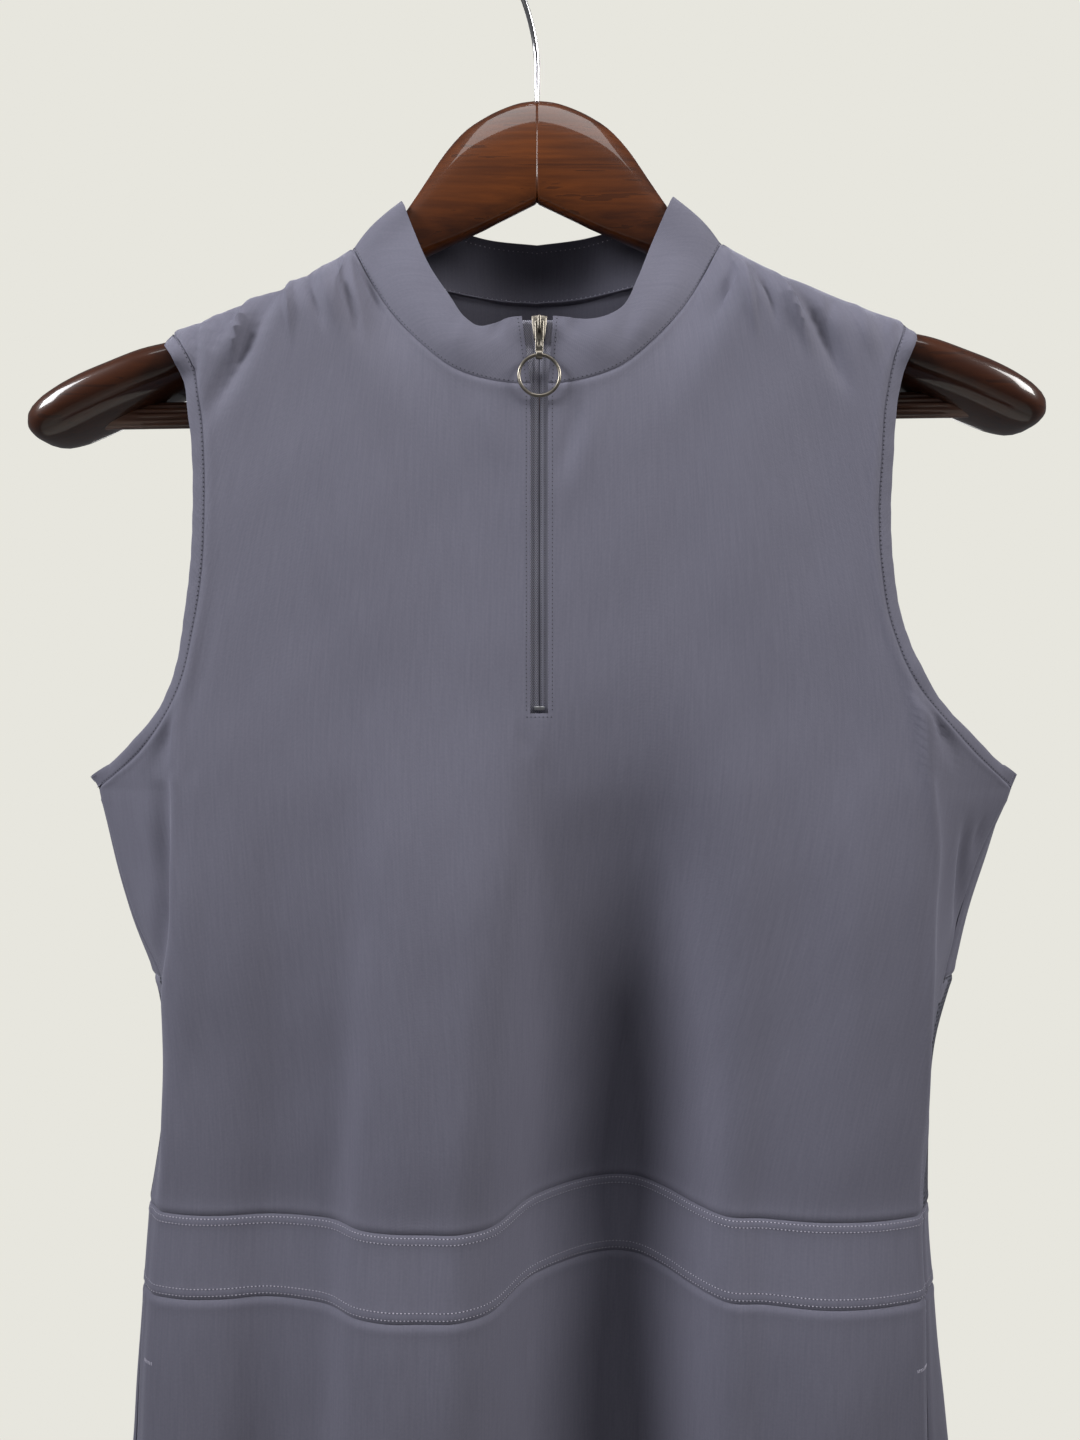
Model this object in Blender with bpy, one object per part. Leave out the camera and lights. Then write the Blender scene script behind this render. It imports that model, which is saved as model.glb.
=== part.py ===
# A sleeveless quarter-zip tennis dress on a wooden suit hanger.
# Sizes are in millimetres until a mesh is made, and MM turns them into metres.
# The origin is where the hook bears on its rail. +X is right and -Y is the front.

import math

import bmesh
import bpy
import numpy as np
from mathutils import Matrix, Vector

MM = 0.001

# Cloth walls and seams
CLOTH = 1.4
COLLAR_WALL = 2.0
SEAM_HALF_GAP = 0.16
BAND_WIDTH = 6.5
ARMPIT_TURN = {0: 1.0, 1: 0.6, 2: 0.25}

# Heights below the hook
ARMPIT_Z = -388.0
MESH_TOP_Z = -473.5
WAIST_TOP_Z = -570.0
WAIST_BOTTOM_Z = -604.5
POCKET_TOP_Z = -636.0
POCKET_BOTTOM_Z = -800.0
HEM_Z = -1027.0

# The zip down the centre front
SLIT_LEFT_X = -2.7
SLIT_RIGHT_X = 4.8
SLIT_X = 0.5 * (SLIT_LEFT_X + SLIT_RIGHT_X)
SLIT_BOTTOM_Z = -355.0
ZIP_TOP_Z = -188.3
TAPE_WIDTH = 9.0
TAPE_WALL = 1.0

# How far the cloth drops before it stands clear of the arms it hangs on
SHOULDER_DROP = 18.0
NECK_DROP = 42.0
# The hanger hangs a little higher on the right, and the shoulders go with it
LEAN = 0.014
LEAN_FROM_Z = -200.0
LEAN_TO_Z = -300.0

# Knots of the front's columns: seam, fold, shoulder point of the neck, zip, and back out again
FRONT_FOLD = 3
FRONT_NECK = 8
FRONT_SLIT = 18
FRONT_LAST = 37
# Knots of the back's columns, from the right seam to the left
BACK_SIDE = 2
BACK_NECK = 8
BACK_NECK_END = 20
BACK_LAST = 28

# Sections of the dress from the armpits down, and the fold lines above them
LEVEL_NAMES = ("z", "left_seam_x", "left_seam_y", "left_fold_x", "left_fold_y",
               "right_fold_x", "right_fold_y", "right_seam_x", "right_seam_y",
               "left_back_x", "left_back_y", "right_back_x", "right_back_y", "back_y", "wave")
LEVELS = (
    (-147, -196, 0, -143, -31, 148, -31, 212, 0, -193, 27, 206, 27, 30, 0.00),
    (-315, -196, 0, -143, -31, 152, -31, 212, 0, -193, 25, 206, 25, 31, 0.00),
    (-350, -196, 0, -146, -31, 159, -31, 212, 0, -193, 18, 206, 18, 32, 0.04),
    (-388, -196, 0, -149, -31, 163, -31, 212, 0, -195, 11, 212, 11, 33, 0.18),
    (-412, -190, 1, -151, -30, 164, -30, 201, 1, -194, 12, 209, 12, 34, 0.32),
    (-445, -181, 2, -154, -28, 165, -28, 190, 2, -187, 13, 199, 13, 34, 0.50),
    (-474, -168, 1, -156, -25, 165, -26, 182, 1, -177, 12, 192, 12, 34, 0.66),
    (-500, -165, 1, -157, -22, 165, -24, 176, -2, -170, 8, 182, 8, 34, 0.80),
    (-540, -167, -2, -160, -19, 164, -22, 170, -10, -169, 4, 177, 3, 34, 0.94),
    (-570, -171, -6, -163, -17, 163, -21, 167, -15, -172, 1, 175, -2, 34, 1.00),
    (-604, -172, -10, -165, -20, 163, -25, 167, -19, -174, -2, 177, -4, 34, 1.02),
    (-690, -177, -10, -170, -22, 165, -26, 169, -19, -182, 0, 187, -2, 36, 1.06),
    (-850, -203, -6, -194, -24, 191, -26, 197, -16, -212, 4, 217, 2, 42, 1.12),
    (-1027, -234, -3, -222, -26, 217, -28, 226, -14, -245, 8, 249, 6, 50, 1.20),
)

# Depth of the front across the waist: a ridge left of the zip, a deep trough right of it
WAVE_NAMES = ("x", "y", "hem_y")
FRONT_WAVE = (
    (-163, -17, -17),
    (-149, -20, -21),
    (-133, -20, -15),
    (-115, -18, -8),
    (-99, -20, -13),
    (-86, -24, -24),
    (-75, -33, -34),
    (-63, -37, -39),
    (-47, -38, -40),
    (-29, -37, -37),
    (-17, -29, -28),
    (-3, -3, -4),
    (11, 11, 11),
    (28, 21, 21),
    (38, 23, 24),
    (49, 19, 21),
    (59, 7, 9),
    (68, -7, -6),
    (79, -20, -21),
    (97, -23, -26),
    (121, -27, -33),
    (144, -26, -30),
    (163, -21, -21),
)

# Folds of the back: where across it, from right to left, how wide and how deep at the hem
BACK_FOLD_NAMES = ("across", "width", "depth")
BACK_FOLDS = (
    (0.24, 0.070, 13),
    (0.42, 0.060, -8),
    (0.60, 0.075, 12),
    (0.79, 0.060, -7),
)
BACK_FOLD_START_Z = -540.0

# The stitched line of the armholes, from the shoulder to the armpit
ARMHOLE_NAMES = ("z", "front_left", "front_right", "back")
ARMHOLES = (
    (-185.5, -159, 159, 159),
    (-200, -147, 152, 155),
    (-224, -141, 146, 152),
    (-250, -139, 144, 150),
    (-270, -139, 143, 150),
    (-293, -140, 144, 151),
    (-320, -144, 149, 155),
    (-345, -151, 161, 163),
    (-362, -162, 178, 174),
    (-375, -175, 193, 186),
    (-388, -196, 212, 200),
)

# Half of the shoulder's ridge, from the neck out
RIDGE_NAMES = ("x", "z")
RIDGE = (
    (82.5, -147),
    (94, -155.5),
    (105, -163),
    (120, -170),
    (133, -175.5),
    (147, -181),
    (159, -185.5),
    (167, -189),
)

# Half of the neck seam: share of the way, then place
NECK_NAMES = ("share", "x", "y", "z")
NECK_FRONT = (
    (0.00, 2.0, -31.0, -216.6),
    (0.10, 11.0, -31.0, -216.3),
    (0.20, 22.0, -31.0, -214.2),
    (0.33, 35.5, -30.0, -208.8),
    (0.46, 48.0, -27.5, -198.5),
    (0.61, 61.0, -22.5, -184.0),
    (0.77, 72.0, -16.0, -166.5),
    (0.90, 79.5, -10.0, -151.5),
    (1.00, 82.5, 0.0, -147.0),
)
NECK_BACK = (
    (0.00, 82.5, 0.0, -147.0),
    (0.14, 79.0, 10.5, -148.5),
    (0.30, 66.0, 16.0, -152.5),
    (0.53, 44.0, 20.5, -157.8),
    (0.76, 20.0, 24.5, -161.3),
    (1.00, 0.0, 26.0, -162.4),
)

# The collar's upper edge, from the zip (0) past the shoulder (1) to the centre back (2)
COLLAR_NAMES = ("share", "left_x", "right_x", "y", "left_z", "right_z")
COLLAR_TOP = (
    (0.00, -6.3, 6.8, -29.5, -188.2, -188.2),
    (0.12, -12.0, 12.0, -30.0, -189.0, -188.9),
    (0.24, -23.0, 21.0, -30.0, -192.3, -189.9),
    (0.36, -30.0, 29.0, -29.0, -188.3, -188.2),
    (0.50, -36.5, 37.0, -27.0, -178.5, -182.5),
    (0.65, -46.4, 43.5, -22.0, -162.0, -168.5),
    (0.80, -54.2, 50.5, -14.5, -142.6, -150.0),
    (0.91, -58.6, 58.8, -11.5, -131.0, -131.0),
    (1.00, -61.0, 61.0, 0.0, -126.5, -126.5),
    (1.14, -58.5, 58.5, 11.0, -127.0, -127.0),
    (1.40, -43.0, 43.0, 15.0, -130.5, -130.5),
    (1.72, -21.0, 21.0, 16.5, -136.0, -136.0),
    (2.00, 0.0, 0.0, 17.0, -138.3, -138.3),
)
COLLAR_BULGE = 2.2
ZIP_EDGE_BULGE = 0.6

# The hanger's wood, from its middle to the end of an arm
WOOD_NAMES = ("x", "top", "bottom", "front", "back")
WOOD = (
    (0, -82.0, -127.0, -7.5, 7.5),
    (8, -83.0, -130.9, -7.5, 7.5),
    (16, -85.7, -134.8, -7.5, 7.5),
    (24, -89.6, -138.6, -7.5, 7.5),
    (32, -95.0, -142.2, -7.5, 7.5),
    (41, -105.0, -146.2, -7.6, 7.6),
    (50, -118.6, -150.3, -7.9, 7.8),
    (58, -130.5, -154.5, -7.9, 7.8),
    (68, -144.0, -160.0, -7.9, 7.8),
    (80, -154.5, -167.0, -8.2, 8.0),
    (94, -163.0, -175.0, -10.4, 9.4),
    (108, -169.6, -183.0, -13.4, 11.4),
    (124, -176.6, -192.0, -16.8, 13.8),
    (140, -183.4, -201.0, -19.8, 16.4),
    (156, -189.6, -209.6, -22.4, 18.8),
    (170, -193.6, -215.6, -25.0, 20.2),
    (184, -199.0, -221.4, -25.6, 20.8),
    (197, -204.2, -227.2, -25.2, 20.4),
    (207, -209.2, -231.2, -23.8, 19.0),
    (215, -214.2, -232.4, -20.6, 15.8),
    (220, -218.2, -230.4, -15.6, 10.8),
    (223.5, -222.0, -227.0, -8.0, 3.4),
)
WOOD_CORNERS = 16
WOOD_SQUARENESS = 2.6

BAR_RADIUS = 5.75
BAR_Z = -219.5
BAR_HALF_LENGTH = 202.6
SOCKET_CLEARANCE = 0.3

WIRE_RADIUS = 1.3
CROOK_RADIUS = 22.7
CROOK_TURN = math.radians(57)
NECK_TOP_Z = -67.0
NECK_FOOT_Z = -81.6

# Zip hardware
TAPE_SETBACK = 0.5
SLIDER_WIDTH = 6.6
SLIDER_TOP_Z = -188.6
SLIDER_HEIGHT = 9.6
SLIDER_DEPTH = 3.2
SLIDER_SEAT = 0.35
BRIDGE_WIDTH = 1.3
BRIDGE_WIRE = 0.9
BRIDGE_FRONT_Y = -35.6
LINK_AXIS_Y = -33.8
LINK_AXIS_Z = -192.2
LINK_WIDTH = 4.0
LINK_WINDOW = 2.3
LINK_WINDOW_HEIGHT = 5.4
LINK_WALL = 0.9
RING_AXIS_Z = -206.0
RING_RADIUS = 8.5
RING_WIRE = 0.72
EYE_INNER = 1.2
EYE_OUTER = 1.9
EYE_LENGTH = 2.8
STOP_SIZE = (4.4, 0.9, 1.6)
STOP_Z = -352.8

# Pocket bags lie behind the skirt's front, from the side seam inwards
BAG_COLUMNS = (0.4, 1.5, 2.5, 3, 4, 5, 6, 7, 8, 9, 10)
BAG_ROWS = 5
BAG_WALL = 2.2
BAG_SETBACK = 0.9


def column(rows, names, name):
    return np.array([row[names.index(name)] for row in rows], float)


def smooth(at, xs, ys):
    """The height at a place on the smooth curve through rising xs."""
    slopes = np.gradient(ys, xs)
    at = np.clip(at, xs[0], xs[-1])
    i = np.clip(np.searchsorted(xs, at, side="right") - 1, 0, len(xs) - 2)
    step = xs[i + 1] - xs[i]
    t = (at - xs[i]) / step
    return ((2 * t**3 - 3 * t**2 + 1) * ys[i] + (t**3 - 2 * t**2 + t) * step * slopes[i]
            + (3 * t**2 - 2 * t**3) * ys[i + 1] + (t**3 - t**2) * step * slopes[i + 1])


def read(rows, names, name, at, by=None):
    """A column of a table at a place on its first column, or on the column that `by` names."""
    xs = column(rows, names, by or names[0])
    ys = column(rows, names, name)
    order = np.argsort(xs)
    return smooth(at, xs[order], ys[order])


def level(name, z):
    return float(read(LEVELS, LEVEL_NAMES, name, z))


def mix(a, b, t):
    return a + (b - a) * t


def unit(v):
    return v / np.linalg.norm(v)


def lean(p):
    share = np.clip((p[2] - LEAN_TO_Z) / (LEAN_FROM_Z - LEAN_TO_Z), 0, 1)
    return np.array([p[0], p[1], p[2] + LEAN * share * p[0]])


def eased(drop, past_neck):
    """0 on the upper edge, 1 where the cloth hangs straight: round on a shoulder, soft at the neck."""
    soft = min(max(past_neck / 2, 0.0), 1.0)
    s = min(max(drop / mix(SHOULDER_DROP, NECK_DROP, soft), 0.0), 1.0)
    return mix(math.sqrt(1 - (1 - s) ** 2), math.sin(0.5 * math.pi * s), soft)


# The front

def front_share(k):
    """How far across the front a column lies, from the left fold (0) to the right fold (1)."""
    width = level("right_fold_x", ARMPIT_Z) - level("left_fold_x", ARMPIT_Z)
    slit = [(x - level("left_fold_x", ARMPIT_Z)) / width for x in (SLIT_LEFT_X, SLIT_RIGHT_X)]
    knots = (FRONT_FOLD, FRONT_SLIT, FRONT_SLIT + 1, FRONT_LAST - FRONT_FOLD)
    return float(np.interp(k, knots, (0.0, slit[0], slit[1], 1.0)))


def front_depth(share, z):
    """Depth of the front at a share of the way across it."""
    x = mix(FRONT_WAVE[0][0], FRONT_WAVE[-1][0], share)
    hem = np.clip((WAIST_TOP_Z - z) / (WAIST_TOP_Z - HEM_Z), 0, 1)
    waist_y = read(FRONT_WAVE, WAVE_NAMES, "y", x)
    wave = mix(waist_y, read(FRONT_WAVE, WAVE_NAMES, "hem_y", x), hem)
    ends = mix(FRONT_WAVE[0][1], FRONT_WAVE[-1][1], share)
    edge = mix(level("left_fold_y", z), level("right_fold_y", z), share)
    return float(edge + level("wave", z) * (wave - ends))


def front_section(k, z):
    """A point of the front at or under the armpits."""
    fold_l = np.array([level("left_fold_x", z), level("left_fold_y", z), z])
    fold_r = np.array([level("right_fold_x", z), level("right_fold_y", z), z])
    if k < FRONT_FOLD:
        seam = np.array([level("left_seam_x", z), level("left_seam_y", z), z])
        return mix(seam, fold_l, k / FRONT_FOLD)
    if k > FRONT_LAST - FRONT_FOLD:
        seam = np.array([level("right_seam_x", z), level("right_seam_y", z), z])
        return mix(seam, fold_r, (FRONT_LAST - k) / FRONT_FOLD)
    share = front_share(k)
    return np.array([mix(fold_l[0], fold_r[0], share), front_depth(share, z), z])


def front_surface_y(x, z):
    """Depth of the front above the armpits, with its sides turned back past the fold lines."""
    left, right = level("left_fold_x", z), level("right_fold_x", z)
    y = front_depth(float(np.clip((x - left) / (right - left), 0, 1)), z)
    turned = np.clip((-300.0 - z) / (-300.0 - ARMPIT_Z), 0, 1)
    for fold, out, seam in ((left, left - x, "left"), (right, x - right, "right")):
        if out > 0:
            seam_x, seam_y = level(seam + "_seam_x", ARMPIT_Z), level(seam + "_seam_y", ARMPIT_Z)
            fold_x, fold_y = level(seam + "_fold_x", ARMPIT_Z), level(seam + "_fold_y", ARMPIT_Z)
            y += out * turned * (seam_y - fold_y) / abs(seam_x - fold_x)
    return y


def ridge_point(share, side):
    """A point of the shoulder seam, from the armhole's stitches (0) to the neck (1)."""
    x = mix(ARMHOLES[0][2], RIDGE[0][0], share)
    return np.array([side * x, 0.0, float(read(RIDGE, RIDGE_NAMES, "z", x))])


def neck_point(rows, share, side):
    return np.array([side * float(read(rows, NECK_NAMES, "x", share)),
                     float(read(rows, NECK_NAMES, "y", share)),
                     float(read(rows, NECK_NAMES, "z", share))])


def front_top(k):
    """The front's upper edge: the shoulder seam, then the neck seam, up to the zip."""
    side = -1 if k <= FRONT_SLIT else 1
    near = k if side < 0 else FRONT_LAST - k
    if near <= FRONT_NECK:
        return ridge_point(near / FRONT_NECK, side)
    share = (FRONT_SLIT - near) / (FRONT_SLIT - FRONT_NECK)
    p = neck_point(NECK_FRONT, share, side)
    slit = SLIT_LEFT_X if side < 0 else SLIT_RIGHT_X
    if share == 0:
        p[0] = slit
    return p


def drawn_in(x, neck_x, edge_x, line_x):
    """A column's place once the armhole draws the edge in to its stitched line."""
    return neck_x + (x - neck_x) * (line_x - neck_x) / (edge_x - neck_x)


def front_upper(k, v):
    """A point of the front between its upper edge (v = 0) and the armpits (v = 1)."""
    top, foot = front_top(k), front_section(k, ARMPIT_Z)
    p = mix(top, foot, v)
    left = k < FRONT_LAST / 2
    near = min(k, FRONT_LAST - k)
    if near < FRONT_NECK:
        edge, neck = (0, FRONT_NECK) if left else (FRONT_LAST, FRONT_LAST - FRONT_NECK)
        edge_p = mix(front_top(edge), front_section(edge, ARMPIT_Z), v)
        neck_p = mix(front_top(neck), front_section(neck, ARMPIT_Z), v)
        line = read(ARMHOLES, ARMHOLE_NAMES, "front_left" if left else "front_right", edge_p[2])
        p[0] = drawn_in(p[0], neck_p[0], edge_p[0], float(line))
    hang = front_surface_y(p[0], p[2]) - top[1]
    p[1] = top[1] + hang * eased(top[2] - p[2], near - FRONT_NECK)
    return p


# The back

def back_depth(share, z):
    """Depth of the back at a share of the way from its right side to its left."""
    edge = mix(level("right_back_y", z), level("left_back_y", z), share)
    y = edge + (level("back_y", z) - edge) * (1 - abs(2 * share - 1) ** 2.6)
    grown = np.clip((BACK_FOLD_START_Z - z) / (BACK_FOLD_START_Z - HEM_Z), 0, 1) ** 0.8
    for centre, width, depth in BACK_FOLDS:
        y += depth * grown * math.exp(-(((share - centre) / width) ** 2))
    return float(y)


def back_section(k, z):
    """A point of the back at or under the armpits."""
    for side, near in (("right", k), ("left", BACK_LAST - k)):
        if near < BACK_SIDE:
            seam = np.array([level(side + "_seam_x", z), level(side + "_seam_y", z), z])
            turn = np.array([level(side + "_back_x", z), level(side + "_back_y", z), z])
            return mix(seam, turn, near / BACK_SIDE)
    share = (k - BACK_SIDE) / (BACK_LAST - 2 * BACK_SIDE)
    x = mix(level("right_back_x", z), level("left_back_x", z), share)
    return np.array([x, back_depth(share, z), z])


def back_top(k):
    """The back's upper edge, from the right armhole over the neck to the left armhole."""
    if k <= BACK_NECK:
        return ridge_point(k / BACK_NECK, 1)
    if k >= BACK_NECK_END:
        return ridge_point((BACK_LAST - k) / BACK_NECK, -1)
    middle = 0.5 * (BACK_NECK + BACK_NECK_END)
    side = 1 if k <= middle else -1
    return neck_point(NECK_BACK, 1 - abs(k - middle) / (middle - BACK_NECK), side)


def back_upper(k, v):
    """A point of the back between its upper edge (v = 0) and the armpits (v = 1)."""
    top, foot = back_top(k), back_section(k, ARMPIT_Z)
    p = mix(top, foot, v)
    side = 1 if k < BACK_LAST / 2 else -1
    near = min(k, BACK_LAST - k)
    if near < BACK_NECK:
        edge, neck = (0, BACK_NECK) if side > 0 else (BACK_LAST, BACK_NECK_END)
        edge_p = mix(back_top(edge), back_section(edge, ARMPIT_Z), v)
        neck_p = mix(back_top(neck), back_section(neck, ARMPIT_Z), v)
        line = side * float(read(ARMHOLES, ARMHOLE_NAMES, "back", edge_p[2]))
        line += (back_section(edge, ARMPIT_Z)[0] - side * ARMHOLES[-1][3]) * v**6
        p[0] = drawn_in(p[0], neck_p[0], edge_p[0], line)
    right, left = level("right_back_x", p[2]), level("left_back_x", p[2])
    share = float(np.clip((p[0] - right) / (left - right), 0, 1))
    hang = mix(back_depth(share, p[2]), foot[1], v**4)
    p[1] = top[1] + (hang - top[1]) * eased(top[2] - p[2], near - BACK_NECK)
    return p


# Rows of each panel, shared so that neighbours meet point to point

SLIT_ROW_SHARE = (SLIT_BOTTOM_Z - NECK_FRONT[0][3]) / (ARMPIT_Z - NECK_FRONT[0][3])
UPPER_ROWS = (0, 0.012, 0.035, 0.075, 0.13, 0.22, 0.33, 0.44, 0.55, 0.65, 0.75,
              SLIT_ROW_SHARE, 0.90, 0.96)
CHEST_ROWS = (ARMPIT_Z, -409.0, -430.0, -452.0, MESH_TOP_Z)
MESH_ROWS = (MESH_TOP_Z, -497.0, -521.0, -545.0, WAIST_TOP_Z)
BAND_ROWS = (WAIST_TOP_Z, WAIST_BOTTOM_Z)
SKIRT_ROWS = tuple(np.linspace(WAIST_BOTTOM_Z, HEM_Z, 10))


def leaned(grid):
    return np.array([[lean(p) for p in row] for row in grid])


def panel(upper, section, last, upper_rows, rows):
    ks = range(last + 1)
    grid = [[upper(k, v) for k in ks] for v in upper_rows]
    grid += [[section(k, z) for k in ks] for z in rows]
    return leaned(grid)


def collar_grid():
    """The stand collar, from the zip's right edge round the neck to its left edge."""
    half = FRONT_SLIT - FRONT_NECK
    base = [front_top(k) for k in range(FRONT_SLIT + 1, FRONT_LAST - FRONT_NECK + 1)]
    base += [back_top(k) for k in range(BACK_NECK + 1, BACK_NECK_END + 1)]
    base += [front_top(k) for k in range(FRONT_NECK + 1, FRONT_SLIT + 1)]
    count = len(base)
    grid = []
    for rise in (0, 1 / 3, 2 / 3, 1):
        row = []
        for i, foot in enumerate(base):
            right = i <= count // 2
            near = i if right else count - 1 - i
            share = near / half if near <= half else 1 + (near - half) / (count // 2 - half)
            side = "right" if right else "left"
            top = np.array([float(read(COLLAR_TOP, COLLAR_NAMES, name, share))
                            for name in (side + "_x", "y", side + "_z")])
            out = unit(np.array([foot[0], foot[1] * 2, 0.0]) + 1e-6)
            bulge = mix(ZIP_EDGE_BULGE, COLLAR_BULGE, min(share / 0.3, 1.0))
            row.append(mix(foot, top, rise) + out * bulge * math.sin(math.pi * rise))
        grid.append(row)
    return leaned(grid)


def band_grid(front_edge, front_inner, back_edge, back_inner, side):
    """An armhole's band: a ring from the stitched line out to the free edge."""
    stitches = list(front_edge) + list(back_edge[-2:0:-1])
    inside = list(front_inner) + list(back_inner[-2:0:-1])
    count, armpit = len(stitches), len(front_edge) - 1
    edge = []
    for i, (s, n) in enumerate(zip(stitches, inside)):
        along = unit(stitches[(i + 1) % count] - stitches[i - 1])
        out = s - n
        if i == 0:
            out = ridge_point(0, side) - ridge_point(0.1, side)
        turned = ARMPIT_TURN.get(abs(i - armpit), 0.0)
        out = mix(unit(out), np.array([side * 0.25, 0.0, 1.0]), turned)
        out = out - along * np.dot(out, along)
        edge.append(s + unit(out) * BAND_WIDTH)
    return np.array([stitches + stitches[:1], edge + edge[:1]])


# Meshes

def shared_normals(grids):
    """One outward direction for each point of the cloth, the same in every panel that meets there."""
    total = {}
    for grid in grids:
        rows, cols = grid.shape[:2]
        for j in range(rows - 1):
            for i in range(cols - 1):
                a, b, c, d = grid[j, i], grid[j, i + 1], grid[j + 1, i + 1], grid[j + 1, i]
                face = np.cross(c - a, b - d)
                for p in (a, b, c, d):
                    key = tuple(np.round(p, 2))
                    total[key] = total.get(key, np.zeros(3)) + face
    return {key: unit(v) for key, v in total.items()}


def shrunk(grid, sides):
    """The grid with its seam edges drawn in by half the gap between pieces."""
    moved = grid.copy()
    ends = {"top": (0, 1, 0), "bottom": (-1, -2, 0), "first": (0, 1, 1), "last": (-1, -2, 1)}
    for name in sides:
        edge, inner, axis = ends[name]
        at = np.take(grid, edge, axis)
        step = np.take(grid, inner, axis) - at
        step *= SEAM_HALF_GAP / np.linalg.norm(step, axis=1)[:, None]
        if axis == 0:
            moved[edge] += step
        else:
            moved[:, edge] += step
    return moved


def add_object(name, points, faces, material, smooth_angle=math.radians(50)):
    mesh = bpy.data.meshes.new(name)
    mesh.from_pydata([tuple(np.asarray(p) * MM) for p in points], [], faces)
    mesh.validate()
    mesh.shade_smooth()
    mesh.set_sharp_from_angle(angle=smooth_angle)
    mesh.materials.append(material)
    obj = bpy.data.objects.new(name, mesh)
    bpy.context.scene.collection.objects.link(obj)
    return obj


def cloth_wall(name, grid, normals, wall, sides, material, keep=None, offset=0.0, ring=False):
    """A wall of cloth behind a grid of outer points, closed round its edges."""
    rows, cols = grid.shape[:2]
    keep = np.ones((rows - 1, cols - 1), bool) if keep is None else keep
    outer = shrunk(grid, sides)
    index, points, faces = {}, [], []
    for depth in (offset, offset + wall):
        for j in range(rows):
            for i in range(cols):
                near = keep[max(j - 1, 0):j + 1, max(i - 1, 0):i + 1]
                if near.any() and not (ring and i == cols - 1):
                    normal = normals[tuple(np.round(grid[j, i], 2))]
                    index[depth, j, i] = len(points)
                    points.append(outer[j, i] - normal * depth)
                if ring and i == cols - 1:
                    index[depth, j, i] = index[depth, j, 0]
    face_out, face_in = offset, offset + wall

    def kept(j, i):
        i = i % (cols - 1) if ring else i
        return 0 <= j < rows - 1 and 0 <= i < cols - 1 and keep[j, i]

    for j in range(rows - 1):
        for i in range(cols - 1):
            if not keep[j, i]:
                continue
            corners = ((j, i), (j + 1, i), (j + 1, i + 1), (j, i + 1))
            faces.append([index[(face_out,) + c] for c in corners])
            faces.append([index[(face_in,) + c] for c in reversed(corners)])
            across = ((j, i - 1), (j + 1, i), (j, i + 1), (j - 1, i))
            for n, other in enumerate(across):
                if not kept(*other):
                    a, b = corners[n], corners[(n + 1) % 4]
                    faces.append([index[(face_out,) + b], index[(face_out,) + a],
                                  index[(face_in,) + a], index[(face_in,) + b]])
    return add_object(name, points, faces, material)


def tube(name, path, radius, sides, material, closed=False, squash=1.0):
    """A round bar along a path of points."""
    path = [np.asarray(p, float) for p in path]
    count = len(path)
    points, faces = [], []
    before = None
    for i, p in enumerate(path):
        if closed:
            along = unit(path[(i + 1) % count] - path[i - 1])
        else:
            along = unit(path[min(i + 1, count - 1)] - path[max(i - 1, 0)])
        across = np.cross(along, (0, 1, 0)) if before is None else before
        across = unit(across - along * np.dot(across, along))
        before = across
        up = np.cross(along, across)
        for s in range(sides):
            angle = 2 * math.pi * s / sides
            points.append(p + radius * (math.cos(angle) * across + squash * math.sin(angle) * up))
    for i in range(count if closed else count - 1):
        for s in range(sides):
            a, b = i * sides + s, i * sides + (s + 1) % sides
            c, d = (b + sides) % len(points), (a + sides) % len(points)
            faces.append([a, b, c, d])
    if not closed:
        faces.append(list(range(sides))[::-1])
        faces.append([len(points) - sides + s for s in range(sides)])
    return add_object(name, points, faces, material)


def put_origin(obj, x, y, z):
    """Moves an object's origin to a point, leaving its shape where it is."""
    point = Vector((x, y, z)) * MM
    obj.data.transform(Matrix.Translation(-point))
    obj.location = point


def material(name, colour, roughness, metallic=0.0):
    mat = bpy.data.materials.new(name)
    mat.use_nodes = True
    shader = mat.node_tree.nodes["Principled BSDF"]
    shader.inputs["Base Color"].default_value = (*colour, 1.0)
    shader.inputs["Roughness"].default_value = roughness
    shader.inputs["Metallic"].default_value = metallic
    mat.diffuse_color = (*colour, 1.0)
    return mat


def clear_scene():
    for obj in list(bpy.data.objects):
        bpy.data.objects.remove(obj, do_unlink=True)


# The hanger

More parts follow.
